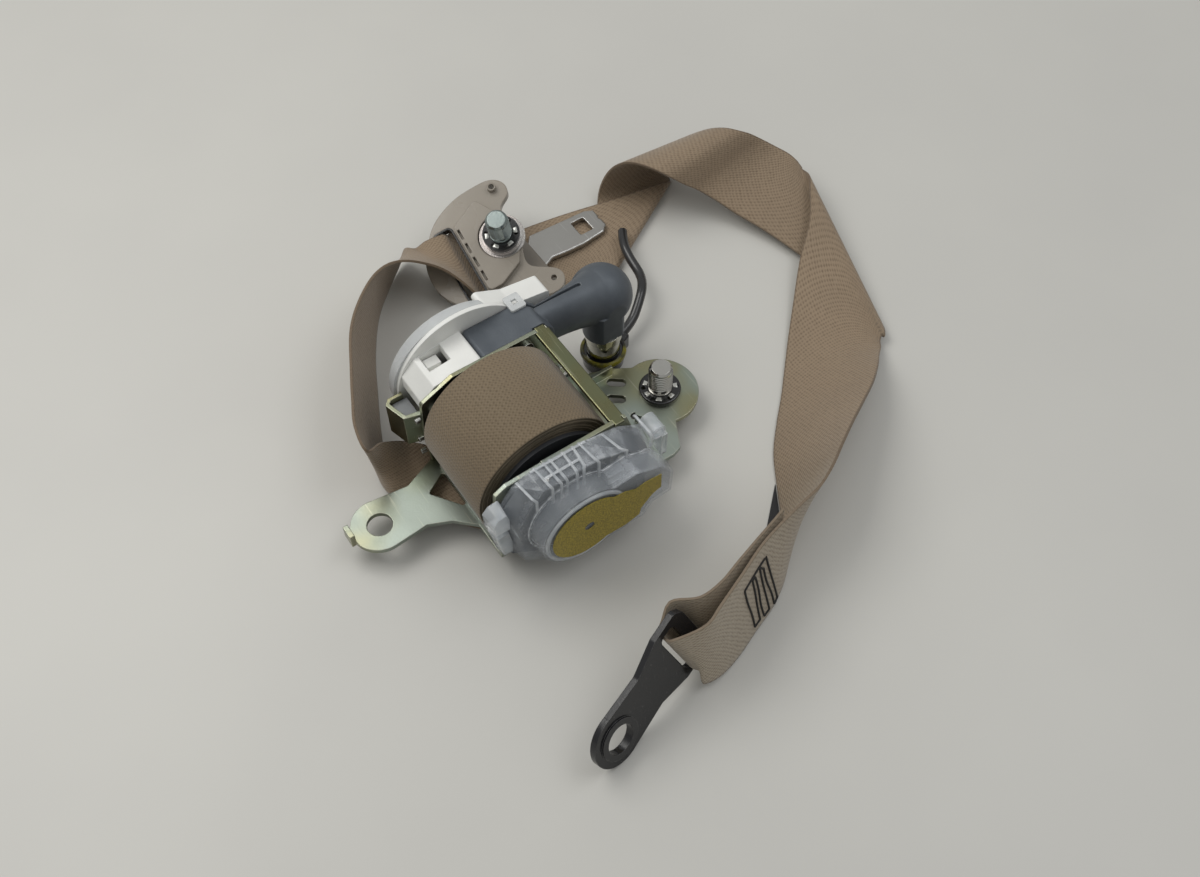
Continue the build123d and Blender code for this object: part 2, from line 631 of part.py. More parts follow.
SPRING_TURNS = 5
SPRING_T = 0.7
SPRING_IN = ARBOR_R + 1.0
SPRING_PITCH = (DOME_R - 9.5 - SPRING_IN) / SPRING_TURNS


def spiral_points(offset_r):
    """Points of the flat spiral, eight for each turn, moved outwards by offset_r."""
    points = []
    for step in range(8 * SPRING_TURNS + 1):
        angle = 2 * math.pi * step / 8
        radius = SPRING_IN + SPRING_PITCH * step / 8 + offset_r
        points.append((SPOOL_Y + radius * math.cos(angle), SPOOL_Z + radius * math.sin(angle)))
    return points


with BuildPart() as return_spring:
    with BuildSketch(side_plane(ARBOR_X + 0.5)):
        with BuildLine():
            inner = Spline(*spiral_points(0))
            outer = Spline(*spiral_points(SPRING_T))
            Line(inner @ 0, outer @ 0)
            Line(inner @ 1, outer @ 1)
        make_face()
    extrude(amount=6.5)
finish(return_spring, "return_spring")

# Clip with a square hole, over the edge of the housing
CAST_TOP = 66.0
CLIP_Y = SPOOL_Y + 2.5 + math.sqrt((DOME_R + 1) ** 2 - (CAST_TOP - SPOOL_Z) ** 2) + 4
with BuildPart() as cover_clip:
    with BuildSketch(Plane.XY.offset(CAST_TOP + SEAT)):
        with Locations((-47, CLIP_Y)):
            RectangleRounded(9, 8, 1)
            Rectangle(2.6, 2.6, mode=Mode.SUBTRACT)
    extrude(amount=1.3)
finish(cover_clip, "cover_clip")

# Balls of the pretensioner in the wheel's channel
with BuildPart() as drive_balls:
    for angle in (38, 62, 86, 110):
        radius = WHEEL_R + 1.0
        with Locations((CAST_X1 - 12.5, SPOOL_Y + radius * math.cos(math.radians(angle)),
                        SPOOL_Z + radius * math.sin(math.radians(angle)))):
            Sphere(3.2)
finish(drive_balls, "drive_balls")

# Lead from the connector, laid over the table and the webbing
LEAD_D = 5.0
lead_points = [(-42.56, 7.17, 7.0), (-45.7, 15.8, 7.0), (-51.5, 24.0, 10.5), (-58.3, 31.5, 12.0), (-67.3, 36.8, 9.5),
               (-79.2, 38.2, 10.0), (-90.0, 41.2, 10.5), (-97.8, 46.6, 9.0)]


def corner_radii(points, share=0.45):
    """Largest tangent arc at each inner point that the two runs allow."""
    radii = []
    for before, here, after in zip(points, points[1:], points[2:]):
        run_in = Vector(*here) - Vector(*before)
        run_out = Vector(*after) - Vector(*here)
        turn = math.radians(run_in.get_angle(run_out))
        radii.append(share * min(run_in.length, run_out.length) / math.tan(turn / 2))
    return radii


lead_radii = corner_radii(lead_points)
print("lead radii", [round(r, 1) for r in lead_radii])
with BuildPart() as lead:
    with BuildLine() as lead_path:
        FilletPolyline(*lead_points, radius=lead_radii)
    with BuildSketch(Plane(origin=lead_path.line @ 0, z_dir=lead_path.line % 0)):
        Circle(LEAD_D / 2)
    sweep(path=lead_path.wires()[0])
finish(lead, "lead")
lead_length = lead_path.wires()[0].length
print("lead length", round(lead_length, 1), "volume ratio",
      round(lead.part.volume / (math.pi * LEAD_D ** 2 / 4 * lead_length), 4))

# Guide ring on its own plane: x along the slot, y away from it, z up along the bolt
ring_origin = (-120.5, -13.7, 21.0)
ring_along = (0.962, -0.064, -0.266)
ring_normal = (0.243, -0.253, 0.937)
RING = Plane(origin=ring_origin, x_dir=ring_along, z_dir=ring_normal)
SLOT_X = 3.2
SLOT_Y = -26.1
RIB_Y = -19.7
RIB_H = 3.0
EAR_A = (-27.1, 8.2)
EAR_B = (33.0, 12.3)
BOSS_H = 2.6
BUSH_R = 9.0
BUSH_FLANGE_R = 12.0
ring_edge = [(16.1, -40.2), (7.0, -43.2), (-2.0, -43.0), (-11.0, -39.8), (-18.6, -34.1), (-24.4, -28.4),
             (-29.2, -20.0), (-32.2, -10.5), (-33.0, 1.5), (-31.9, 9.8), (-26.6, 14.9), (-20.4, 14.0), (-16.4, 8.2),
             (-11.0, 6.2), (0, 9.0), (12.0, 5.6), (19.5, 4.6), (26.0, 12.0), (32.4, 17.6), (38.6, 15.2), (40.2, 8.4),
             (37.0, -2.0), (35.6, -14.0), (31.4, -25.5), (24.8, -34.0)]
with BuildPart() as ring_plate:
    with BuildSketch(RING.offset(-RING_T)):
        with BuildLine():
            Spline(*ring_edge, periodic=True)
        make_face()
        with Locations(EAR_A, EAR_B):
            Circle(1.5, mode=Mode.SUBTRACT)
        Circle(BUSH_R + RUN, mode=Mode.SUBTRACT)
    extrude(amount=RING_T)
    # Raised body above the slot, and a tube round the hole of one ear
    with BuildSketch(RING.offset(-1)):
        with BuildLine():
            FilletPolyline((-17, RIB_Y), (23.4, RIB_Y), (23.4, -12), (17.5, 1), (12, 4), (-12, 4), (-25, -3), (-20.5, -12),
                           radius=2.5, close=True)
        make_face()
        Circle(BUSH_FLANGE_R + 0.5, mode=Mode.SUBTRACT)
    extrude(amount=RIB_H + 1)
    with BuildSketch(RING.offset(-1)):
        with Locations(EAR_A):
            Circle(2.3)
            Circle(1.5, mode=Mode.SUBTRACT)
    extrude(amount=BOSS_H + 1)
    with BuildSketch(RING.offset(-RING_T)):
        with Locations((SLOT_X, SLOT_Y)):
            RectangleRounded(RING_SLOT_L, RING_SLOT_W, 3)
    extrude(amount=RING_T + 5, mode=Mode.SUBTRACT)
    # Dark slits along the top of the rib
    with BuildSketch(RING.offset(RIB_H)):
        with Locations((-11.5, RIB_Y + 1.5), (-2.8, RIB_Y + 1.5), (5.9, RIB_Y + 1.5), (14.6, RIB_Y + 1.5)):
            Rectangle(6.0, 1.2)
    extrude(amount=-2.2, mode=Mode.SUBTRACT)
finish(ring_plate, "ring_plate")

with BuildPart() as ring_liner:
    with BuildSketch(RING.offset(-RING_T - 0.4)):
        with Locations((SLOT_X, SLOT_Y)):
            RectangleRounded(RING_SLOT_L - 2 * SEAT, RING_SLOT_W - 2 * SEAT, 3 - SEAT)
            RectangleRounded(RING_SLOT_L - 2, RING_SLOT_W - 2, 2, mode=Mode.SUBTRACT)
    extrude(amount=RING_T + 0.6)
finish(ring_liner, "ring_liner")

# Stepped steel bush that turns in the ring
BUSH_LOW = -RING_T - 1.6
with BuildPart() as ring_bush:
    for low, high, radius in ((BUSH_LOW, -RING_T - 0.1, BUSH_R + 1.6), (BUSH_LOW, 0.5, BUSH_R),
                              (0.1, 2.2, BUSH_FLANGE_R), (2.0, 3.8, BUSH_FLANGE_R - 2)):
        with BuildSketch(RING.offset(low)):
            Circle(radius)
            Circle(SHANK_R + RUN, mode=Mode.SUBTRACT)
        extrude(amount=high - low)
finish(ring_bush, "ring_bush")

RING_STUD_TOP = 24.0
RING_STUD_FROM = 8.0
HEAD_T = 4.0
with BuildPart() as ring_bolt:
    with BuildSketch(RING.offset(BUSH_LOW - SEAT - HEAD_T)):
        RegularPolygon(HEAD_R - 0.8, 6)
    extrude(amount=HEAD_T)
    chamfer(ring_bolt.edges(), 0.5)
    for low, high, radius in ((BUSH_LOW - 1, RING_STUD_FROM, SHANK_R), (RING_STUD_FROM, RING_STUD_TOP, STUD_R)):
        with BuildSketch(RING.offset(low)):
            Circle(radius)
        extrude(amount=high - low)
    tip = ring_bolt.faces().sort_by(Axis(ring_origin, ring_normal))[-1]
    chamfer(tip.edges(), 1.0)
finish(ring_bolt, "ring_bolt")

with BuildPart() as ring_retainer:
    with BuildSketch(RING.offset(3.85)):
        Circle(RETAINER_R - 0.5)
        Circle(SHANK_R + RUN, mode=Mode.SUBTRACT)
        with PolarLocations(RETAINER_R - 2.4, 6):
            Circle(1.1, mode=Mode.SUBTRACT)
    extrude(amount=2.4)
finish(ring_retainer, "ring_retainer")

# Tongue: plastic grip with a slot for the webbing, and a steel blade held in it
GRIP_X = -111.5
GRIP_Y1 = 1.0
GRIP_Y0 = GRIP_Y1 - 21
BLADE_Z = 4.6
SLOT_Z = 1.3
SLOT_H = 2.7
blade_points = [(-120.5, GRIP_Y1 - 11), (-120.5, GRIP_Y1 + 0.1), (-124.9, 4.8), (-123.3, 39), (-121.1, 43.4), (-116.6, 43.4),
                (-114.8, 42.6), (-113, 43.4), (-108.8, 43.4), (-105.3, 39.6), (-103.9, 25.9), (-104.3, 15.9),
                (-105.3, 7.1), (-102.5, 1.2), (-102.5, GRIP_Y1 - 11)]
with BuildPart() as tongue_blade:
    with BuildSketch(Plane.XY.offset(BLADE_Z)):
        outline(blade_points)
    extrude(amount=BLADE_T)
    with BuildSketch(Plane.XY.offset(BLADE_Z)):
        with Locations((-114.7, 31.8)):
            RectangleRounded(10.3, 8.1, 1)
    extrude(amount=BLADE_T, mode=Mode.SUBTRACT)
    chamfer(tongue_blade.faces().sort_by(Axis.Z)[-1].outer_wire().edges(), 0.5)
finish(tongue_blade, "tongue_blade")

with BuildPart() as tongue_grip:
    with BuildSketch(Plane.XZ.offset(-GRIP_Y1)):
        rounded([(GRIP_X - GRIP_W / 2, 0.4), (GRIP_X + GRIP_W / 2, 0.4), (GRIP_X + GRIP_W / 2, 4.9),
                 (GRIP_X + 12.5, 8.0), (GRIP_X - 15.5, 8.0), (GRIP_X - GRIP_W / 2, 5.1)], 0.8)
    extrude(amount=GRIP_Y1 - GRIP_Y0)
    with BuildSketch(Plane.XZ.offset(-GRIP_Y1 - 1)):
        with Locations((GRIP_X, SLOT_Z + SLOT_H / 2)):
            Rectangle(WEB_W + 4, SLOT_H)
    extrude(amount=GRIP_Y1 - GRIP_Y0 + 2, mode=Mode.SUBTRACT)
    with BuildSketch(Plane.XY.offset(BLADE_Z - SEAT)):
        outline([(-120.5 - SEAT, GRIP_Y1 - 11 - SEAT), (-120.5 - SEAT, GRIP_Y1 + 1), (-102.5 + SEAT, GRIP_Y1 + 1),
                 (-102.5 + SEAT, GRIP_Y1 - 11 - SEAT)])
    extrude(amount=BLADE_T + 2 * SEAT, mode=Mode.SUBTRACT)
finish(tongue_grip, "tongue_grip")

# End anchor plate on its own plane: x from the slot to the bolt hole, z across the plate
SLOT_C = (118.9, -77.5, 24.7)
END_NORMAL = (0.912, 0.227, 0.342)
END_LONG = (0.324, -0.91, -0.259)
END = Plane(origin=SLOT_C, x_dir=END_LONG, z_dir=END_NORMAL)
END_LENGTH = 45.0
END_SLOT_W = 9.0
END_SLOT_L = 29.0
with BuildPart() as end_plate:
    with BuildSketch(END.offset(-END_T / 2)):
        with BuildLine():
            FilletPolyline((-11.5, -END_W / 2 + 4), (-8, -END_W / 2), (6, -END_W / 2), (22, -END_TIP_R + 1.5),
                           (END_LENGTH, -END_TIP_R), (END_LENGTH, END_TIP_R), (22, END_TIP_R - 1.5),
                           (6, END_W / 2), (-8, END_W / 2), (-11.5, END_W / 2 - 4), radius=3, close=True)
        make_face()
        with Locations((END_LENGTH, 0)):
            Circle(END_TIP_R)
            Circle(END_HOLE_R, mode=Mode.SUBTRACT)
        RectangleRounded(END_SLOT_W, END_SLOT_L, 2.5, mode=Mode.SUBTRACT)
    extrude(amount=END_T)
    # Pressed ring round the hole
    with BuildSketch(END.offset(END_T / 2 - 0.2)):
        with Locations((END_LENGTH, 0)):
            Circle(END_HOLE_R + 3)
            Circle(END_HOLE_R, mode=Mode.SUBTRACT)
    extrude(amount=1.2)
finish(end_plate, "end_plate")


# Webbing: one strap, ruled between pairs of edge points and cut into stretches
def on_plane(plane, x, y, z):
    """Point at local coordinates of a plane."""
    point = plane.from_local_coords(Vector(x, y, z))
    return (point.X, point.Y, point.Z)


def fold_over(near, far, out, radius, slip, rise, steps=6):
    """Pairs of edge points round a rolled fold, which slips along itself as it turns."""
    near = Vector(*near)
    far = Vector(*far)
    out = Vector(*out)
    along = (far - near).normalized()
    pairs = []
    for step in range(steps + 1):
        angle = math.pi * step / steps
        move = out * (radius * math.sin(angle) - radius) + Vector(0, 0, rise * radius * (1 - math.cos(angle)))
        move = move + along * (slip * radius * (angle - math.pi / 2))
        pairs.append((tuple(near + move), tuple(far + move)))
    return pairs


EXIT_Z = SPOOL_Z - ROLL_R - 0.4 - WEB_T / 2
exit_pairs = [((ROLL_X, SPOOL_Y, EXIT_Z), (ROLL_END, SPOOL_Y, EXIT_Z)),
              ((ROLL_X, -98, EXIT_Z - 0.4), (ROLL_END - 1, -97, EXIT_Z - 0.6))]
pass_pairs = [((-27, -102, 5.4), (19.5, -104, 4.4)),
              ((-37, -107, 7.5), (4, -117, 3)),
              ((-43, -116, 12.5), (-12, -127, 1.6)),
              ((-38, -130, 30), (-28, -134.5, 0.8))]
loop_pairs = [((-30, -141, 43), (-42.5, -134, 0.8)),
              ((-41.6, -139.5, 46), (-53.5, -126, 0.8)),
              ((-56, -133, 46), (-67.5, -119.5, 0.8)),
              ((-70.6, -125.7, 46), (-83.2, -112, 0.8)),
              ((-92.4, -113.8, 46), (-106, -100.5, 0.8)),
              ((-107.5, -101, 44), (-127.1, -86.4, 0.8))]
climb_pairs = [((-119.5, -86.5, 41), (-143.5, -69.5, 0.8)),
               ((-123.0, -77.0, 39), (-149.0, -62.5, 2.0)),
               ((-123.0, -69.0, 36), (-153.0, -57.0, 4.5)),
               ((-121.0, -60.5, 31), (-152.0, -55.0, 9.5)),
               (on_plane(RING, 5.0, -35.5, 14), on_plane(RING, -18.5, -41.5, -1)),
               (on_plane(RING, 11.5, -31.0, 9), on_plane(RING, -18.5, -36.0, 1)),
               (on_plane(RING, 19.0, -27.6, 4.5), on_plane(RING, -17.8, -30.5, 1.6)),
               (on_plane(RING, 22.8, -26.0, 0.5), on_plane(RING, -17.6, -26.6, 0.5))]
guide_pairs = [(on_plane(RING, 23.5, -24.5, -4), on_plane(RING, -18.0, -24.5, -4)),
               (on_plane(RING, 25.0, -21.5, -7.2), on_plane(RING, -20.0, -21.5, -7.6)),
               ((-93.5, -28, 2.65), (-141, -26, 6.5)),
               ((-88.5, -21.5, 2.65), (-136.2, -20.8, 2.65)),
               ((-86.6, 1, 2.65), (-134.4, 3, 2.65)),
               ((-86.0, 9.5, 2.65), (-131, 27, 2.65)),
               ((-83, 16, 3.4), (-123.5, 60, 3.6))]
FOLD_R = 2.0
first_fold = fold_over((-80, 28, 2 * FOLD_R + 0.7), (-118, 93, 2 * FOLD_R + 0.7), (0.863, 0.505, 0),
                       FOLD_R, 1.209, -1)
under_pairs = [((-104, 37.8, 0.7), (-125.5, 96.4, 0.7)),
               ((-121.5, 46.6, 0.8), (-127.5, 98, 0.9))]
curl_pairs = [((-128.6, 51.8, 4), (-129.9, 100.2, 4.0)),
              ((-130.4, 55.0, 11), (-129.1, 103.4, 10.5)),
              ((-129.6, 58.5, 18.5), (-127.9, 107.0, 16.2)),
              ((-126.0, 61.3, 25.5), (-124.6, 109.6, 22.2)),
              ((-120.3, 64.2, 31), (-119.9, 112.6, 27.2)),
              ((-112.7, 67.6, 34), (-114.3, 116.1, 32.0)),
              ((-105.0, 71.5, 34.3), (-109.2, 120.9, 34.0)),
              ((-99.0, 77.0, 31), (-104.0, 125.7, 34.0)),
              ((-95.8, 84.0, 24.5), (-100.6, 131.8, 31.2))]
cross_pairs = [((-92.5, 92.0, 18), (-97.5, 138.5, 25.8)),
               ((-85.0, 98.5, 13), (-92.5, 144.7, 21.0)),
               ((-74.4, 104.0, 9), (-86.0, 149.2, 18.2)),
               ((-57.9, 111.0, 6), (-81.5, 150.6, 16.6)),
               ((-38.0, 116.5, 4), (-79.0, 151.0, 15.4)),
               ((-15.0, 121.0, 2.3), (-77.0, 151.0, 14.4))]
TURN_R = 2.6
second_fold = fold_over((25.5, 122.0, 0.8), (-71.0, 150.0, 13.5), (0.279, 0.960, 0), TURN_R, -2.225, 1, 8)
long_pairs = [((32.0, 116.3, 5), (-45, 131, 14)),
              ((34.0, 113.5, 4.5), (-30, 113, 8)),
              ((37.5, 110.6, 5), (-8, 90.5, 3.6)),
              ((42.5, 104.5, 9), (5, 77.5, 1.8)),
              ((50.0, 95.8, 16), (18, 65, 1.2)),
              ((60.3, 81.9, 24), (31, 52.5, 0.8)),
              ((69.0, 67.2, 30.3), (42, 41, 0.8))]
twist_pairs = [((77.5, 52.3, 36), (55, 28.7, 0.8)),
               ((87.0, 36.5, 41.5), (69.2, 19.2, 0.8)),
               ((94.5, 24.0, 44.2), (85, 9.3, 0.8)),
               ((99.6, 12.5, 45.0), (96, 2.6, 0.8)),
               ((101.5, 2.0, 44.6), (107, -5.8, 0.8)),
               ((103.4, -9.0, 43.4), (117, -20.0, 0.8))]
front_pairs = [((107, -24, 42.5), (123.9, -37.3, 0.8)),
               ((114, -41, 43), (129.9, -53.1, 1)),
               ((121, -58, 44), (132.5, -65.0, 2.5)),
               ((124.0, -67, 42), (131.8, -72.5, 5))]


def in_slot(across, out, half):
    """Upper and lower edge point of the strap on the end plate's plane, whose y axis points down."""
    return (on_plane(END, across, -half, out), on_plane(END, across, half, out))


throat_pairs = [in_slot(1.2, 6.8, 16.0),
                in_slot(2.2, 3.6, 14.2),
                in_slot(1.6, 0.0, 13.4),
                in_slot(0.2, -3.2, 13.0),
                in_slot(-4.5, -5.0, 13.0)]
tail_pairs = [in_slot(-12, -5.0, 16.0),
              ((112.0, -61.5, 41.2), (119.9, -61.6, 4.0)),
              ((111.6, -50.5, 42.0), (122.4, -53.5, 1.2)),
              ((108.0, -38.5, 42.2), (120.8, -44.5, 0.8)),
              ((103.8, -24.5, 42.2), (118.4, -32.5, 0.8)),
              ((100.6, -13.0, 42.4), (114.6, -22.5, 0.8)),
              ((98.8, -7.0, 42.6), (111.4, -17.0, 0.8))]

stretches = [("webbing_exit", exit_pairs), ("webbing_pass", pass_pairs), ("webbing_loop", loop_pairs),
             ("webbing_climb", climb_pairs),
             ("webbing_guide", guide_pairs), ("webbing_fold", first_fold), ("webbing_under", under_pairs),
             ("webbing_curl", curl_pairs), ("webbing_cross", cross_pairs), ("webbing_turn", second_fold),
             ("webbing_long", long_pairs), ("webbing_twist", twist_pairs), ("webbing_front", front_pairs),
             ("webbing_throat", throat_pairs), ("webbing_tail", tail_pairs)]
strap_pairs = [pair for name, pairs in stretches for pair in pairs]


def strap_section(index):
    """Plane and width of the strap at one pair: across the strap, facing along it."""
    start, end = (Vector(*point) for point in strap_pairs[index])
    middle = (start + end) / 2
    before = strap_pairs[max(index - 1, 0)]
    after = strap_pairs[min(index + 1, len(strap_pairs) - 1)]
    flow = Vector(*after[0]) + Vector(*after[1]) - Vector(*before[0]) - Vector(*before[1])
    across = (end - start).normalized()
    flow = flow - across * flow.dot(across)
    return Plane(origin=middle, x_dir=across, z_dir=flow), (end - start).length


first = 0
strap_length = 0.0
for name, pairs in stretches:
    last = min(first + len(pairs), len(strap_pairs) - 1)
    with BuildPart() as stretch:
        for index in range(first, last + 1):
            section_plane, section_width = strap_section(index)
            with BuildSketch(section_plane):
                Rectangle(section_width, WEB_T)
            if index > first:
                strap_length += (section_plane.origin - previous).length
            previous = section_plane.origin
        loft(ruled=True)
    finish(stretch, name)
    first = last
print("webbing outside the roll", round(strap_length))

# Blank woven label beside the sewn end
with BuildPart() as woven_label:
    with BuildSketch(Plane.XY.offset(0.2)):
        outline([(68.8, 18.3), (87.0, 6.9), (101.4, -3.0), (97.5, -6.6), (88.5, -3.5)])
    extrude(amount=0.6)
finish(woven_label, "woven_label")
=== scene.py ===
"""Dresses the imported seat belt: webbing, threads, stitching, collars, finishes, light and camera."""
import logging
import math
from collections.abc import Sequence
from dataclasses import dataclass, field, replace
from enum import Enum

import bpy
from mathutils import Matrix, Vector


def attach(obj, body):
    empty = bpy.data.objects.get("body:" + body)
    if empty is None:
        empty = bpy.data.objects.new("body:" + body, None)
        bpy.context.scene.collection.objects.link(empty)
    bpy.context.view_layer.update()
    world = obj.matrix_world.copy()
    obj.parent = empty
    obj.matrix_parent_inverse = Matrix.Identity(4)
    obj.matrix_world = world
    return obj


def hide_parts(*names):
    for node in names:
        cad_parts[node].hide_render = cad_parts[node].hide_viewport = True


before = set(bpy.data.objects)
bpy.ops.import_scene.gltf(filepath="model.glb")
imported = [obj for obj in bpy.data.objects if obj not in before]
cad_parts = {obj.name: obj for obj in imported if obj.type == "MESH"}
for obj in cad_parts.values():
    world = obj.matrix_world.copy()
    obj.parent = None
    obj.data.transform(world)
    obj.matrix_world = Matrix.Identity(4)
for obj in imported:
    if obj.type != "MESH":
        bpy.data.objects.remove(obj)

log = logging.getLogger("seat_belt")
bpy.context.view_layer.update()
MM = 0.001
FULL_TURN = 2 * math.pi
FACING = 0.9
MERGE = 1e-6
Color = tuple[float, float, float]
Point = tuple[float, float, float]
Spot = tuple[float, float]
Pair = tuple[Point, Point]

SPOOL_Y = -81.5
SPOOL_Z = 41.0
ROLL_R = 34.6
ROLL_X = -22.0
BELT_W = 48.0
BELT_T = 1.2
RING_ORIGIN = (-120.5, -13.7, 21.0)
RING_ALONG = (0.962, -0.064, -0.266)
RING_NORMAL = (0.243, -0.253, 0.937)
END_ORIGIN = (118.9, -77.5, 24.7)
END_LONG = (0.324, -0.91, -0.259)
END_NORMAL = (0.912, 0.227, 0.342)


class Rise(Enum):
    """Way in which the belt turns over at a rolled fold."""

    UP = 1
    DOWN = -1


class Edge(Enum):
    """The belt's two long edges."""

    FIRST = 0
    SECOND = 1


def plane_matrix(origin: Point, along: Point, normal: Point) -> Matrix:
    """Frame of a tilted piece.

    Args:
        origin: Its origin in millimetres.
        along: Its x direction.
        normal: Its z direction, kept exactly.
    Returns:
        A matrix that turns local millimetres into row millimetres.
    """
    up = Vector(normal).normalized()
    across = Vector(along)
    across = (across - up * across.dot(up)).normalized()
    side = up.cross(across)
    turn = Matrix((across, side, up)).transposed().to_4x4()
    return Matrix.Translation(Vector(origin)) @ turn


RING_FRAME = plane_matrix(RING_ORIGIN, RING_ALONG, RING_NORMAL)
END_FRAME = plane_matrix(END_ORIGIN, END_LONG, END_NORMAL)
Z_ALONG_X = Matrix.Rotation(math.pi / 2, 4, "Y")


def metric(place: Matrix) -> Matrix:
    """Puts a frame's origin in metres.

    Args:
        place: A frame in millimetres.
    Returns:
        A copy of it with its origin in metres.
    """
    moved = place.copy()
    moved.translation = place.translation * MM
    return moved


def deselect() -> None:
    """Leaves nothing selected."""
    bpy.ops.object.select_all(action="DESELECT")


def choose(obj: bpy.types.Object) -> None:
    """Makes one object the only selected and the active one.

    Args:
        obj: The object.
    """
    deselect()
    obj.select_set(True)
    bpy.context.view_layer.objects.active = obj


def apply_modifier(obj: bpy.types.Object, kind: str, **values: object) -> None:
    """Adds a modifier, sets it and applies it.

    Args:
        obj: The mesh object.
        kind: The modifier's type.
        values: Its settings by name.
    """
    choose(obj)
    modifier = obj.modifiers.new(kind.title(), kind)
    for key, value in values.items():
        setattr(modifier, key, value)
    bpy.ops.object.modifier_apply(modifier=modifier.name)


def round_edges(obj: bpy.types.Object, width: float, segments: int = 2, sharper: float = 30.0) -> None:
    """Rounds a piece's sharp edges.

    Args:
        obj: The mesh object.
        width: Width of the rounding in millimetres.
        segments: Steps across the rounding.
        sharper: Angle in degrees past which an edge is rounded.
    """
    apply_modifier(obj, "BEVEL", width=width * MM, segments=segments, limit_method="ANGLE",
                   angle_limit=math.radians(sharper))


def smooth(obj: bpy.types.Object, degrees: float = 32.0) -> None:
    """Shades a piece smooth, with its sharp edges kept."""
    choose(obj)
    bpy.ops.object.shade_smooth_by_angle(angle=math.radians(degrees))


def face_outward(obj: bpy.types.Object) -> None:
    """Turns all faces of a piece outwards.

    Args:
        obj: The mesh object.
    """
    choose(obj)
    bpy.ops.object.mode_set(mode="EDIT")
    bpy.ops.mesh.select_all(action="SELECT")
    bpy.ops.mesh.normals_make_consistent(inside=False)
    bpy.ops.object.mode_set(mode="OBJECT")


def mesh_object(name: str, points: list[Vector], edges: list[tuple[int, int]],
                faces: list[tuple[int, ...]]) -> bpy.types.Object:
    """New mesh object in the scene.

    Args:
        name: Its name.
        points: Its vertices in metres.
        edges: Its loose edges.
        faces: Its faces.
    Returns:
        The object.
    """
    mesh = bpy.data.meshes.new(name)
    mesh.from_pydata(points, edges, faces)
    obj = bpy.data.objects.new(name, mesh)
    bpy.context.scene.collection.objects.link(obj)
    return obj


def spun(name: str, profile: Sequence[Spot], steps: int, place: Matrix) -> bpy.types.Object:
    """Turned piece about the local z axis.

    Args:
        name: Its name.
        profile: Points of (radius, height) in millimetres.
        steps: Steps round the turn.
        place: Frame in millimetres that it is put in.
    Returns:
        The closed, outward facing mesh object in metres.
    """
    points = [Vector((radius * MM, 0, height * MM)) for radius, height in profile]
    obj = mesh_object(name, points, [(i, i + 1) for i in range(len(points) - 1)], [])
    choose(obj)
    bpy.ops.object.mode_set(mode="EDIT")
    bpy.ops.mesh.select_all(action="SELECT")
    bpy.ops.mesh.spin(steps=steps, angle=FULL_TURN, center=(0, 0, 0), axis=(0, 0, 1))
    bpy.ops.mesh.select_all(action="SELECT")
    bpy.ops.mesh.remove_doubles(threshold=MERGE)
    bpy.ops.object.mode_set(mode="OBJECT")
    face_outward(obj)
    obj.data.transform(metric(place))
    smooth(obj)
    return obj


def tube(name: str, route: Sequence[Vector], radius: float, rounds: int, steps: int) -> bpy.types.Object:
    """Round tube along one open, smooth spline.

    Args:
        name: Its name.
        route: The spline's control points in millimetres.
        radius: The tube's radius in millimetres.
        rounds: How finely its section is divided.
        steps: Steps between two control points.
    Returns:
        The curve object.
    """
    data = bpy.data.curves.new(name, "CURVE")
    data.dimensions = "3D"
    data.bevel_depth = radius * MM
    data.bevel_resolution = rounds
    data.resolution_u = steps
    data.use_fill_caps = True
    spline = data.splines.new("NURBS")
    spline.points.add(len(route) - 1)
    for target, point in zip(spline.points, route):
        target.co = (*(point * MM), 1.0)
    spline.order_u = 3
    spline.use_endpoint_u = True
    obj = bpy.data.objects.new(name, data)
    bpy.context.scene.collection.objects.link(obj)
    return obj


def shell(name: str, back: Sequence[Spot], back_x: float, front: Sequence[Spot], front_x: float,
          wall: float = 1.3) -> bpy.types.Object:
    """Moulded tray with a closed front and an open back.

    Args:
        name: Its name.
        back: Outline of (y, z) points at its open back, in millimetres.
        back_x: The back's x.
        front: Outline of as many points at its front.
        front_x: The front's x.
        wall: Wall thickness.
    Returns:
        The tray, with rounded edges and a real wall.
    """
    count = len(back)
    points = [Vector((x, y, z)) * MM for x, outline in ((back_x, back), (front_x, front)) for y, z in outline]
    sides = [(i, (i + 1) % count, count + (i + 1) % count, count + i) for i in range(count)]
    tray = mesh_object(name, points, [], sides + [tuple(range(count, 2 * count))])
    face_outward(tray)
    if sum(face.normal.x for face in tray.data.polygons if abs(face.normal.x) > FACING) < 0:
        tray.data.flip_normals()
    apply_modifier(tray, "SOLIDIFY", thickness=wall * MM, offset=-1.0)
    round_edges(tray, 0.5, sharper=40)
    return tray


def strip(name: str, path: list[Point], across: Point, width: float, depth: float,
          lean: float = 0.7) -> bpy.types.Object:
    """Moulded rib that follows a path.

    Args:
        name: Its name.
        path: Points of its outer edge in millimetres.
        across: Direction of its width.
        width: Its width.
        depth: How far it reaches in from its outer edge, along a slant.
        lean: Share of the depth that it takes down, and as much back.
    Returns:
        The rib, with rounded edges.
    """
    side = Vector(across) * width / 2
    low = Vector((-depth, 0, -depth)) * lean
    section = (side, side + low, -side + low, -side)
    count = len(path)
    faces = []
    for band in range(len(section)):
        first, second = band * count, (band + 1) % len(section) * count
        faces += [(first + i, first + i + 1, second + i + 1, second + i) for i in range(count - 1)]
    faces.append(tuple(band * count for band in range(len(section))))
    faces.append(tuple(band * count + count - 1 for band in reversed(range(len(section)))))
    rib = mesh_object(name, [(Vector(p) + shift) * MM for shift in section for p in path], [], faces)
    face_outward(rib)
    round_edges(rib, 0.2, 1)
    return rib


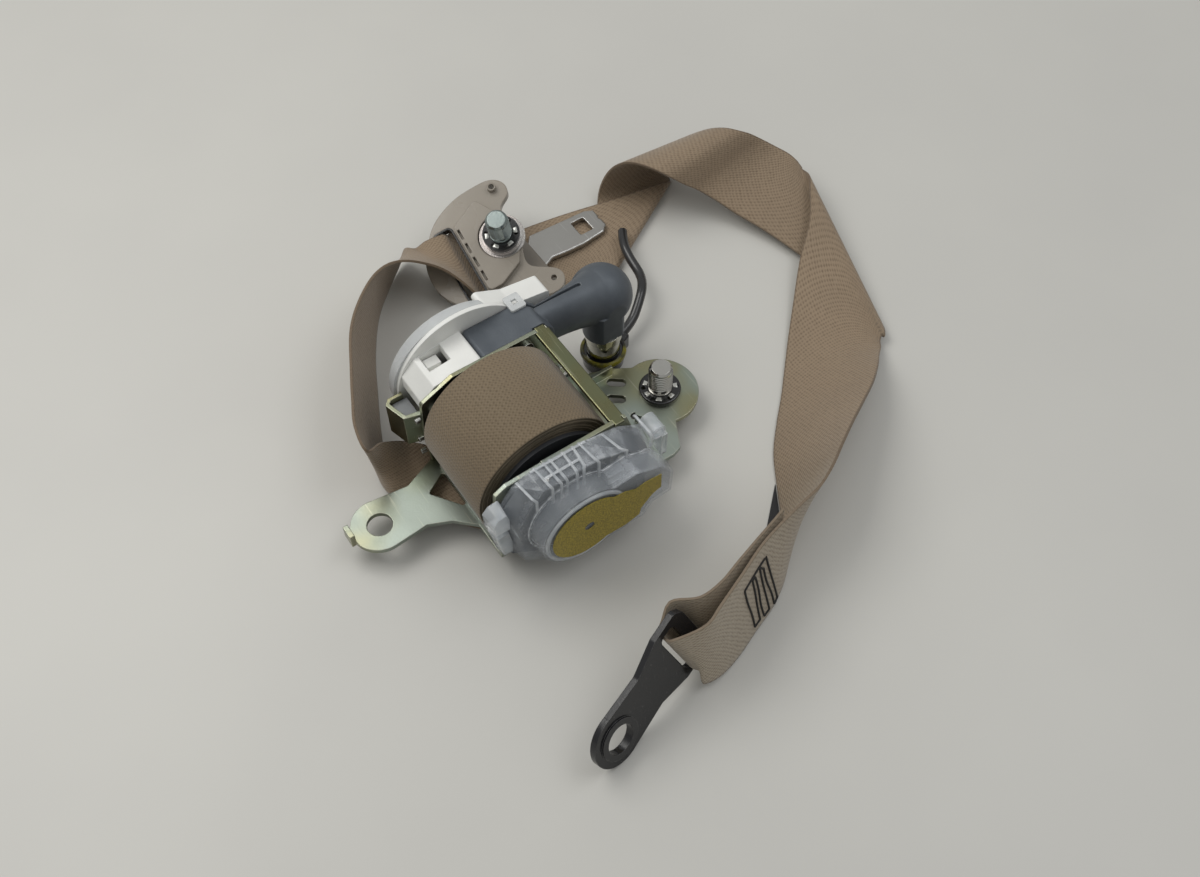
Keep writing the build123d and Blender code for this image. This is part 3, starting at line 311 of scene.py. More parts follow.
def joined(name: str, parts: list[bpy.types.Object]) -> bpy.types.Object:
    """Makes several parts one object, with no finish yet.

    Args:
        name: The whole's name.
        parts: The parts.
    Returns:
        The whole, which is the first part.
    """
    choose(parts[0])
    for part in parts[1:]:
        part.select_set(True)
    bpy.ops.object.join()
    parts[0].name = name
    parts[0].data.name = name
    parts[0].data.materials.clear()
    return parts[0]


class Graph:
    """Adds and joins nodes of one tree."""

    def __init__(self, tree: bpy.types.NodeTree) -> None:
        """Keeps the tree."""
        self.tree = tree

    def feed(self, node: bpy.types.Node, key: int | str, value: object) -> None:
        """Links or sets one input.

        Args:
            node: The node.
            key: The input's name or number.
            value: A socket to link, or a value to set.
        """
        socket = node.inputs[key]
        if isinstance(value, bpy.types.NodeSocket):
            self.tree.links.new(value, socket)
        elif isinstance(value, tuple) and len(value) == 3 and socket.type == "RGBA":
            socket.default_value = (*value, 1.0)
        else:
            socket.default_value = value

    def add(self, kind: str, inputs: dict | None = None, **settings: object) -> bpy.types.Node:
        """Adds a node.

        Args:
            kind: The node's type.
            inputs: Its inputs by name or number.
            settings: Its own properties, which are set first.
        Returns:
            The node.
        """
        node = self.tree.nodes.new(kind)
        for key, value in settings.items():
            setattr(node, key, value)
        for key, value in (inputs or {}).items():
            self.feed(node, key, value)
        return node

    def math(self, operation: str, first: object, second: object = 0.0) -> bpy.types.NodeSocket:
        """One step of arithmetic."""
        return self.add("ShaderNodeMath", {0: first, 1: second}, operation=operation).outputs[0]

    def mix(self, factor: object, first: object, second: object) -> bpy.types.NodeSocket:
        """Mix of two colours."""
        return self.add("ShaderNodeMix", {0: factor, 6: first, 7: second}, data_type="RGBA").outputs[2]

    def span(self, value: object, low: float, high: float, to_low: float,
             to_high: float) -> bpy.types.NodeSocket:
        """Maps one range to another, clamped."""
        return self.add("ShaderNodeMapRange", {0: value, 1: low, 2: high, 3: to_low, 4: to_high}).outputs[0]

    def noise(self, vector: object, scale: object, detail: float = 3.0) -> bpy.types.NodeSocket:
        """Noise value, with its scale in steps to the metre."""
        return self.add("ShaderNodeTexNoise", {"Vector": vector, "Scale": scale, "Detail": detail}).outputs[0]


def new_group(name: str, inputs: list[tuple[str, str, float]], outputs: list[tuple[str, str]]
              ) -> tuple[bpy.types.NodeTree, Graph, bpy.types.Node, bpy.types.Node]:
    """Empty shader group with named sockets.

    Args:
        name: The group's name.
        inputs: Name, socket type and default of each input.
        outputs: Name and socket type of each output.
    Returns:
        The group, its graph, its input node and its output node.
    """
    group = bpy.data.node_groups.new(name, "ShaderNodeTree")
    for label, kind, default in inputs:
        socket = group.interface.new_socket(label, in_out="INPUT", socket_type=kind)
        if kind == "NodeSocketFloat":
            socket.default_value = default
    for label, kind in outputs:
        group.interface.new_socket(label, in_out="OUTPUT", socket_type=kind)
    graph = Graph(group)
    return group, graph, graph.add("NodeGroupInput"), graph.add("NodeGroupOutput")


def new_material(name: str) -> tuple[bpy.types.Material, Graph, bpy.types.Node]:
    """Material with its main shader ready.

    Args:
        name: The material's name.
    Returns:
        The material, its graph and its main shader.
    """
    material = bpy.data.materials.new(name)
    material.use_nodes = True
    return material, Graph(material.node_tree), material.node_tree.nodes["Principled BSDF"]


def edge_wear_and_glint_group() -> bpy.types.NodeTree:
    """Rounded edge normal and a mask of edges, for real wear and for painted edge highlights.

    Returns:
        The shader group.
    """
    group, graph, inside, outside = new_group(
        "edge_wear_and_glint_mask",
        [("Radius", "NodeSocketFloat", 0.0004), ("Wear_And_Glint", "NodeSocketFloat", 1.0),
         ("Vector", "NodeSocketVector", 0.0)],
        [("Normal", "NodeSocketVector"), ("Mask", "NodeSocketFloat")])
    turned_from, turned_to = 0.01, 0.12
    break_scale, broken_from, broken_to, least_edge_mark = 260.0, 0.42, 0.6, 0.35
    bevel = graph.add("ShaderNodeBevel", {"Radius": inside.outputs["Radius"]}, samples=6)
    flat = graph.add("ShaderNodeNewGeometry")
    match = graph.add("ShaderNodeVectorMath", {0: bevel.outputs[0], 1: flat.outputs["True Normal"]},
                      operation="DOT_PRODUCT").outputs["Value"]
    edge = graph.span(graph.math("SUBTRACT", 1.0, match), turned_from, turned_to, 0.0, 1.0)
    breaks = graph.noise(inside.outputs["Vector"], break_scale, 4.0)
    broken = graph.span(breaks, broken_from, broken_to, least_edge_mark, 1.0)
    edge_marks = graph.math("MULTIPLY", graph.math("MULTIPLY", edge, broken), inside.outputs["Wear_And_Glint"])
    graph.feed(outside, "Normal", bevel.outputs[0])
    graph.feed(outside, "Mask", edge_marks)
    return group


def patch_group() -> bpy.types.NodeTree:
    """Large soft patches, fine grain, scratches and a slow change of hue.

    Returns:
        The shader group.
    """
    group, graph, inside, outside = new_group(
        "patches_and_grain",
        [("Vector", "NodeSocketVector", 0.0), ("Patch Scale", "NodeSocketFloat", 40.0),
         ("Grain Scale", "NodeSocketFloat", 900.0)],
        [("Patch", "NodeSocketFloat"), ("Grain", "NodeSocketFloat"), ("Scratch", "NodeSocketFloat"),
         ("Hue", "NodeSocketFloat")])
    scratch_turn, scratch_scale = (0.3, 0.2, 0.9), (30.0, 900.0, 500.0)
    scratch_from, scratch_to = 0.66, 0.74
    hue_scale, hue_from, hue_to = 27.0, 0.44, 0.60
    vector = inside.outputs["Vector"]
    patch = graph.noise(vector, inside.outputs["Patch Scale"])
    grain = graph.noise(vector, inside.outputs["Grain Scale"], 2.0)
    stretched = graph.add("ShaderNodeMapping", {"Vector": vector, "Rotation": scratch_turn,
                                                "Scale": scratch_scale}).outputs[0]
    scratch = graph.noise(stretched, 1.0, 1.0)
    hue = graph.noise(vector, hue_scale, 1.0)
    graph.feed(outside, "Patch", graph.span(patch, 0.35, 0.65, 0.0, 1.0))
    graph.feed(outside, "Grain", grain)
    graph.feed(outside, "Scratch", graph.span(scratch, scratch_from, scratch_to, 0.0, 1.0))
    graph.feed(outside, "Hue", graph.span(hue, hue_from, hue_to, 0.0, 1.0))
    return group


def weave_group() -> bpy.types.NodeTree:
    """Pebbled webbing weave from metres across and along the belt.

    Returns:
        The shader group.
    """
    group, graph, inside, outside = new_group(
        "webbing_weave",
        [("Vector", "NodeSocketVector", 0.0), ("Pitch Across", "NodeSocketFloat", 0.0016),
         ("Pitch Along", "NodeSocketFloat", 0.0019)],
        [("Height", "NodeSocketFloat"), ("Rib", "NodeSocketFloat")])
    drift_scale, most_drift = 160.0, 0.0011
    pebble_reach, pebble_share = 0.75, 0.7
    uneven_scale, uneven_share = 420.0, 0.3
    vector = inside.outputs["Vector"]
    parts = graph.add("ShaderNodeSeparateXYZ", {0: vector})
    drift = graph.math("SUBTRACT", graph.noise(vector, drift_scale, 2.0), 0.5)
    wobble = graph.math("MULTIPLY", drift, most_drift)
    across = graph.math("ADD", parts.outputs[0], wobble)
    along = graph.math("ADD", parts.outputs[1], wobble)
    turn = graph.math("MULTIPLY", graph.math("DIVIDE", across, inside.outputs["Pitch Across"]), FULL_TURN)
    step = graph.math("MULTIPLY", graph.math("DIVIDE", along, inside.outputs["Pitch Along"]), FULL_TURN)
    crossing = graph.math("MULTIPLY", graph.math("SINE", turn), graph.math("SINE", step))
    pebble = graph.span(crossing, -pebble_reach, pebble_reach, 0.0, 1.0)
    rib = graph.span(graph.math("SINE", step), -1.0, 1.0, 0.0, 1.0)
    uneven = graph.span(graph.noise(vector, uneven_scale, 2.0), 0.3, 0.7, 0.0, 1.0)
    height = graph.math("ADD", graph.math("MULTIPLY", pebble, pebble_share),
                        graph.math("MULTIPLY", uneven, uneven_share))
    graph.feed(outside, "Height", height)
    graph.feed(outside, "Rib", rib)
    return group


EDGE_WEAR_AND_GLINT = edge_wear_and_glint_group()
PATCHES = patch_group()
WEAVE = weave_group()


@dataclass(frozen=True)
class Finish:
    """A moulded, cast, plated or painted surface on Object coordinates, in metres."""

    name: str
    color: Color
    patch: Color
    edge: Color
    roughness: float = 0.5
    rough_spread: float = 0.08
    metallic: float = 0.0
    patch_scale: float = 40.0
    grain_scale: float = 900.0
    grain_depth: float = 0.00003
    edge_radius: float = 0.0004
    # Share of the edge colour at edges: real wear on metal and paint, painted highlight on the clear and
    # milky mouldings.
    wear_and_glint: float = 0.0
    coat: float = 0.0
    alpha: float = 1.0
    scratch: float = 0.0
    tint: Color | None = None
    # Alpha at the edges, for the painted edge highlights of the clear and milky mouldings.
    edge_alpha: float = 1.0

    def build(self) -> bpy.types.Material:
        """Makes the material.

        Returns:
            The material, with its constants on the shader's own sockets.
        """
        material, graph, shader = new_material(self.name)
        vector = graph.add("ShaderNodeTexCoord").outputs["Object"]
        edges = graph.add("ShaderNodeGroup", {"Radius": self.edge_radius, "Wear_And_Glint": self.wear_and_glint,
                                              "Vector": vector}, node_tree=EDGE_WEAR_AND_GLINT)
        patches = graph.add("ShaderNodeGroup", {"Vector": vector, "Patch Scale": self.patch_scale,
                                                "Grain Scale": self.grain_scale}, node_tree=PATCHES)
        body = graph.mix(patches.outputs["Patch"], self.color, self.patch)
        if self.tint:
            body = graph.mix(patches.outputs["Hue"], body, self.tint)
        marks = graph.math("MULTIPLY", patches.outputs["Scratch"], self.scratch)
        marked = graph.mix(marks, body, self.edge)
        graph.feed(shader, "Base Color", graph.mix(edges.outputs["Mask"], marked, self.edge))
        rough = graph.span(patches.outputs["Patch"], 0.0, 1.0, self.roughness - self.rough_spread,
                           self.roughness + self.rough_spread)
        graph.feed(shader, "Roughness", rough)
        bump = graph.add("ShaderNodeBump", {"Strength": 1.0, "Distance": self.grain_depth,
                                            "Height": patches.outputs["Grain"],
                                            "Normal": edges.outputs["Normal"]})
        graph.feed(shader, "Normal", bump.outputs[0])
        graph.feed(shader, "Metallic", self.metallic)
        graph.feed(shader, "Coat Weight", self.coat)
        # Painted highlight: the edges of clear and milky mouldings are paler and more opaque than their
        # faces.
        if self.alpha < 1.0:
            cover = graph.span(edges.outputs["Mask"], 0.0, 1.0, self.alpha, self.edge_alpha)
            graph.feed(shader, "Alpha", cover)
        return material


@dataclass(frozen=True)
class BeltFinish:
    """Woven webbing on a map of metres across and along the belt."""

    name: str
    yarn: Color
    # Dark colour of the painted shade in the weave's hollows; it is also blended in along both edges.
    gap: Color
    soil: Color
    pitch_across: float = 0.0024
    pitch_along: float = 0.0025
    depth: float = 0.00026
    ribbed: float = 0.0
    middle: float = BELT_W * MM / 2
    # Lighter belt colour from the twist on: painted light on the front stretches, which catch more light and
    # sheen.
    painted_light_tone: Color | None = None
    painted_light_from: float = 0.0
    painted_light_over: float = 0.06
    patch_scale: float = 22.0
    most_soil: float = 0.5
    most_painted_shade: float = 0.72
    selvedge_from: float = 0.482
    selvedge_to: float = 0.495
    most_selvedge: float = 0.75
    gap_height: float = 0.55
    low_roughness: float = 0.82
    high_roughness: float = 0.6
    sheen: float = 0.25
    sheen_roughness: float = 0.5

    def build(self) -> bpy.types.Material:
        """Makes the webbing material.

        Returns:
            The material.
        """
        material, graph, shader = new_material(self.name)
        vector = graph.add("ShaderNodeUVMap", uv_map="belt").outputs[0]
        across, along, _ = graph.add("ShaderNodeSeparateXYZ", {0: vector}).outputs
        weave = graph.add("ShaderNodeGroup", {"Vector": vector, "Pitch Across": self.pitch_across,
                                              "Pitch Along": self.pitch_along}, node_tree=WEAVE)
        spot = graph.add("ShaderNodeTexCoord").outputs["Object"]
        patches = graph.add("ShaderNodeGroup", {"Vector": spot, "Patch Scale": self.patch_scale},
                            node_tree=PATCHES)
        soiled = graph.span(patches.outputs["Patch"], 0.0, 1.0, 0.0, self.most_soil)
        base = graph.mix(soiled, self.yarn, self.soil)
        # Painted light: the belt blends to the lighter colour along its length.
        if self.painted_light_tone:
            share = graph.span(along, self.painted_light_from, self.painted_light_from + self.painted_light_over, 0.0, 1.0)
            base = graph.mix(share, base, self.painted_light_tone)
        height = graph.math("ADD", graph.math("MULTIPLY", weave.outputs["Height"], 1.0 - self.ribbed),
                            graph.math("MULTIPLY", weave.outputs["Rib"], self.ribbed))
        # Painted shade: the weave's low places are darkened towards the gap colour.
        shade = graph.span(height, 0.0, self.gap_height, 1.0, 0.0)
        tinted = graph.mix(graph.math("MULTIPLY", shade, self.most_painted_shade), base, self.gap)
        off_middle = graph.math("ABSOLUTE", graph.math("SUBTRACT", across, self.middle))
        selvedge = graph.span(off_middle, BELT_W * MM * self.selvedge_from, BELT_W * MM * self.selvedge_to,
                              0.0, self.most_selvedge)
        graph.feed(shader, "Base Color", graph.mix(selvedge, tinted, self.gap))
        rough = graph.span(height, 0.0, 1.0, self.low_roughness, self.high_roughness)
        graph.feed(shader, "Roughness", rough)
        graph.feed(shader, "Sheen Weight", self.sheen)
        graph.feed(shader, "Sheen Roughness", self.sheen_roughness)
        bump = graph.add("ShaderNodeBump", {"Strength": 1.0, "Distance": self.depth, "Height": height})
        graph.feed(shader, "Normal", bump.outputs[0])
        return material


class Finishes:
    """Every finish of the belt, built once."""

    ZINC = Finish("zinc_plate", (0.33, 0.315, 0.190), (0.27, 0.31, 0.25), (0.66, 0.64, 0.52), 0.33, 0.06,
                  1.0, patch_scale=34.0, wear_and_glint=0.9, edge_radius=0.0005, scratch=0.35, tint=(0.32, 0.36, 0.32))
    OLIVE_ZINC = Finish("olive_zinc", (0.20, 0.195, 0.105), (0.16, 0.17, 0.10), (0.62, 0.60, 0.44), 0.30,
                        0.06, 1.0, patch_scale=60.0, wear_and_glint=1.0, edge_radius=0.0006, scratch=0.4)
    BRIGHT = Finish("bright_steel", (0.60, 0.60, 0.58), (0.50, 0.50, 0.48), (0.85, 0.85, 0.84), 0.25, 0.07,
                    1.0, wear_and_glint=0.6, scratch=0.3)
    BUSH = Finish("bush_steel", (0.55, 0.53, 0.51), (0.47, 0.42, 0.40), (0.80, 0.78, 0.76), 0.20, 0.05, 1.0,
                  wear_and_glint=0.6, edge_radius=0.0003)
    BOLT = Finish("bolt_steel", (0.56, 0.55, 0.52), (0.44, 0.43, 0.40), (0.86, 0.84, 0.80), 0.17, 0.05, 1.0,
                  wear_and_glint=0.8, edge_radius=0.00015)
    BLUE_ZINC = Finish("blue_zinc", (0.40, 0.45, 0.44), (0.30, 0.35, 0.34), (0.72, 0.76, 0.74), 0.22, 0.06,
                       1.0, wear_and_glint=0.8, edge_radius=0.00015)
    CHROME = Finish("polished_can", (0.66, 0.66, 0.60), (0.52, 0.50, 0.42), (0.80, 0.80, 0.78), 0.10, 0.04,
                    1.0)
    BRUSHED = Finish("brushed_blade", (0.44, 0.43, 0.41), (0.38, 0.37, 0.35), (0.92, 0.92, 0.91), 0.36, 0.05,
                     1.0, wear_and_glint=1.2, edge_radius=0.0009, scratch=0.2)
    DARK_CAST = Finish("dark_cast", (0.055, 0.057, 0.062), (0.035, 0.036, 0.04), (0.2, 0.2, 0.2), 0.5, 0.08,
                       0.6)
    DIE_CAST = Finish("die_cast", (0.115, 0.130, 0.148), (0.085, 0.098, 0.115), (0.24, 0.26, 0.28), 0.5,
                      0.05, 0.35, grain_scale=1400.0, grain_depth=0.00008, wear_and_glint=0.5, edge_radius=0.0012,
                      patch_scale=60.0)
    DARK_PLASTIC = Finish("dark_moulding", (0.050, 0.056, 0.068), (0.040, 0.045, 0.056), (0.12, 0.13, 0.14),
                          0.42)
    GREY_PLASTIC = Finish("grey_moulding", (0.26, 0.27, 0.28), (0.22, 0.23, 0.24), (0.36, 0.36, 0.37), 0.45)
    BLACK_PLASTIC = Finish("black_moulding", (0.010, 0.010, 0.011), (0.014, 0.014, 0.015),
                           (0.06, 0.06, 0.06), 0.24, 0.05, coat=0.4)
    WHITE = Finish("white_moulding", (0.86, 0.86, 0.83), (0.81, 0.81, 0.78), (0.88, 0.88, 0.86), 0.40, 0.05,
                   edge_radius=0.0007, patch_scale=55.0, coat=0.1)
    # The milky and clear mouldings' pale, more opaque edges are painted highlights.
    MILKY = Finish("milky_moulding", (0.72, 0.74, 0.74), (0.64, 0.66, 0.67), (0.92, 0.92, 0.92), 0.26, 0.05,
                   edge_radius=0.0006, wear_and_glint=0.7, alpha=0.70, edge_alpha=0.95, coat=0.2)
    CLEAR = Finish("clear_moulding", (0.58, 0.62, 0.66), (0.50, 0.54, 0.59), (0.93, 0.95, 0.98), 0.12, 0.05,
                   edge_radius=0.0008, wear_and_glint=1.0, alpha=0.20, edge_alpha=0.80, patch_scale=70.0)
    CLEAR_RIB = Finish("clear_rib", (0.72, 0.75, 0.78), (0.60, 0.64, 0.68), (0.96, 0.97, 1.0), 0.12, 0.05,
                       edge_radius=0.0005, wear_and_glint=1.0, alpha=0.42, edge_alpha=0.9, patch_scale=120.0)
    LABEL = Finish("yellow_film", (0.46, 0.34, 0.012), (0.19, 0.155, 0.012), (0.55, 0.45, 0.05), 0.38, 0.06,
                   patch_scale=1300.0, edge_radius=0.0001)
    BLACK_SLEEVE = Finish("black_sleeve", (0.010, 0.010, 0.011), (0.018, 0.018, 0.019), (0.05, 0.05, 0.05),
                          0.28, 0.06, coat=0.5)
    RING = Finish("warm_grey_moulding", (0.325, 0.288, 0.240), (0.290, 0.256, 0.212), (0.46, 0.42, 0.365),
                  0.27, 0.05, edge_radius=0.0010, grain_scale=1800.0, grain_depth=0.00002, coat=0.15)
    GRIP = Finish("grip_moulding", (0.20, 0.175, 0.145), (0.17, 0.15, 0.122), (0.36, 0.32, 0.27), 0.30, 0.05,
                  edge_radius=0.0010, coat=0.15)
    BLACK_PAINT = Finish("satin_black", (0.012, 0.012, 0.014), (0.016, 0.016, 0.018), (0.26, 0.25, 0.24),
                         0.22, 0.05, wear_and_glint=0.35, edge_radius=0.0005, scratch=0.12)
    BLACK_WEAVE = Finish("black_weave", (0.012, 0.012, 0.013), (0.02, 0.02, 0.021), (0.05, 0.05, 0.05), 0.7,
                         0.05, grain_scale=1500.0, grain_depth=0.0002)
    THREAD = Finish("black_thread", (0.012, 0.011, 0.011), (0.02, 0.019, 0.018), (0.05, 0.05, 0.05), 0.6,
                    0.08, grain_scale=2200.0, grain_depth=0.00015, edge_radius=0.0001)
    PALE = Finish("pale_gap", (0.70, 0.70, 0.66), (0.55, 0.55, 0.52), (0.9, 0.9, 0.88), 0.22, 0.05, 0.6,
                  patch_scale=300.0)
    COLLAR = Finish("yellow_and_black", (0.26, 0.23, 0.008), (0.008, 0.008, 0.007), (0.35, 0.30, 0.03), 0.30,
                    0.05, patch_scale=150.0)
    # The belt's lighter colour after the twist is painted light.
    BELT = BeltFinish("belt_weave", (0.290, 0.212, 0.138), (0.125, 0.086, 0.052), (0.235, 0.172, 0.112),
                      painted_light_tone=(0.40, 0.335, 0.25))
    # A darker copy of the belt's weave: painted shade on the roll, which sits deep in the frame.
    ROLLED = BeltFinish("rolled_weave", (0.205, 0.150, 0.088), (0.085, 0.060, 0.034), (0.160, 0.118, 0.070),
                        pitch_across=0.0019, pitch_along=0.0020, ribbed=0.3,
                        middle=(ROLL_X + BELT_W / 2) * MM)
    ROLL_SIDE = Finish("rolled_edges", (0.125, 0.100, 0.064), (0.075, 0.060, 0.038), (0.24, 0.195, 0.13),
                       0.75, 0.05, grain_scale=1500.0, grain_depth=0.0001, wear_and_glint=0.8)

    def __init__(self) -> None:
        """Starts with nothing built."""
        self.made: dict[str, bpy.types.Material] = {}

    def get(self, finish: Finish | BeltFinish) -> bpy.types.Material:
        """Material of a finish, built at its first use.

        Args:
            finish: The finish.
        Returns:
            Its material.
        """
        if finish.name not in self.made:
            self.made[finish.name] = finish.build()
        return self.made[finish.name]


@dataclass
class CarriedNodes:
    """CAD nodes that stay, each with its finish."""

    finishes: Finishes
    nodes: dict[str, Finish] = field(default_factory=lambda: {
        "mounting_frame": Finishes.ZINC, "far_plate": Finishes.ZINC, "near_plate": Finishes.ZINC,
        "tie_bar": Finishes.OLIVE_ZINC, "guide_bar": Finishes.BRIGHT, "side_bracket": Finishes.ZINC,
        "side_block": Finishes.GREY_PLASTIC, "frame_rivets": Finishes.BRIGHT,
        "bolt_retainer": Finishes.BLACK_PLASTIC, "anchor_bolt": Finishes.BOLT, "spool": Finishes.DARK_CAST,
        "torsion_bar": Finishes.BRIGHT, "lock_gear": Finishes.BRIGHT, "steering_disc": Finishes.DARK_PLASTIC,
        "locking_pawl": Finishes.BRIGHT, "pawl_pin": Finishes.BRIGHT, "sensor_base": Finishes.DARK_PLASTIC,
        "sensor_housing": Finishes.DARK_PLASTIC, "sensor_ball": Finishes.BRIGHT,
        "sensor_lever": Finishes.DARK_PLASTIC, "lever_pin": Finishes.DARK_PLASTIC,
        "return_spring": Finishes.BRIGHT, "spring_arbor": Finishes.WHITE, "spring_cover": Finishes.WHITE,
        "spring_dome": Finishes.MILKY, "cover_clip": Finishes.MILKY, "tensioner_housing": Finishes.DIE_CAST,
        "drive_wheel": Finishes.DARK_CAST, "drive_balls": Finishes.BRIGHT, "gas_generator": Finishes.CHROME,
        "squib_connector": Finishes.BLACK_PLASTIC, "ring_plate": Finishes.RING,
        "ring_liner": Finishes.BLACK_PLASTIC, "ring_bush": Finishes.BUSH, "ring_bolt": Finishes.BLUE_ZINC,
        "ring_retainer": Finishes.BLACK_PLASTIC, "tongue_blade": Finishes.BRUSHED,
        "tongue_grip": Finishes.GRIP, "end_plate": Finishes.BLACK_PAINT})

    def dress(self) -> None:
        """Gives each node its finish."""
        for name, finish in self.nodes.items():
            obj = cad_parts[name]
            obj.data.materials.clear()
            obj.data.materials.append(self.finishes.get(finish))
            log.info("%s wears %s", name, finish.name)


def fold_over(near: Point, far: Point, out: Point, radius: float, slip: float, rise: Rise,
              steps: int = 6) -> list[Pair]:
    """Pairs of belt edge points round a rolled fold.

    Args:
        near: One end of the fold line at the middle of the turn.
        far: Its other end.
        out: Direction in which the fold stands out.
        radius: Radius of the turn.
        slip: How far the belt slips along the fold line as it turns, in radii for each radian.
        rise: Whether the turn goes up or down.
        steps: Steps of the half turn.
    Returns:
        The pairs in millimetres.
    """
    along = (Vector(far) - Vector(near)).normalized()
    pairs = []
    for step in range(steps + 1):
        angle = math.pi * step / steps
        move = Vector(out) * (radius * math.sin(angle) - radius)
        move += Vector((0, 0, rise.value * radius * (1 - math.cos(angle))))
        move += along * (slip * radius * (angle - math.pi / 2))
        pairs.append((tuple(Vector(near) + move), tuple(Vector(far) + move)))
    return pairs


def on_ring(x: float, y: float, z: float) -> Point:
    """Row point at local coordinates of the guide ring."""
    return tuple(RING_FRAME @ Vector((x, y, z)))


def in_slot(across: float, out: float, half: float) -> Pair:
    """Upper and lower edge point of the belt at the end plate."""
    return (tuple(END_FRAME @ Vector((across, -half, out))), tuple(END_FRAME @ Vector((across, half, out))))


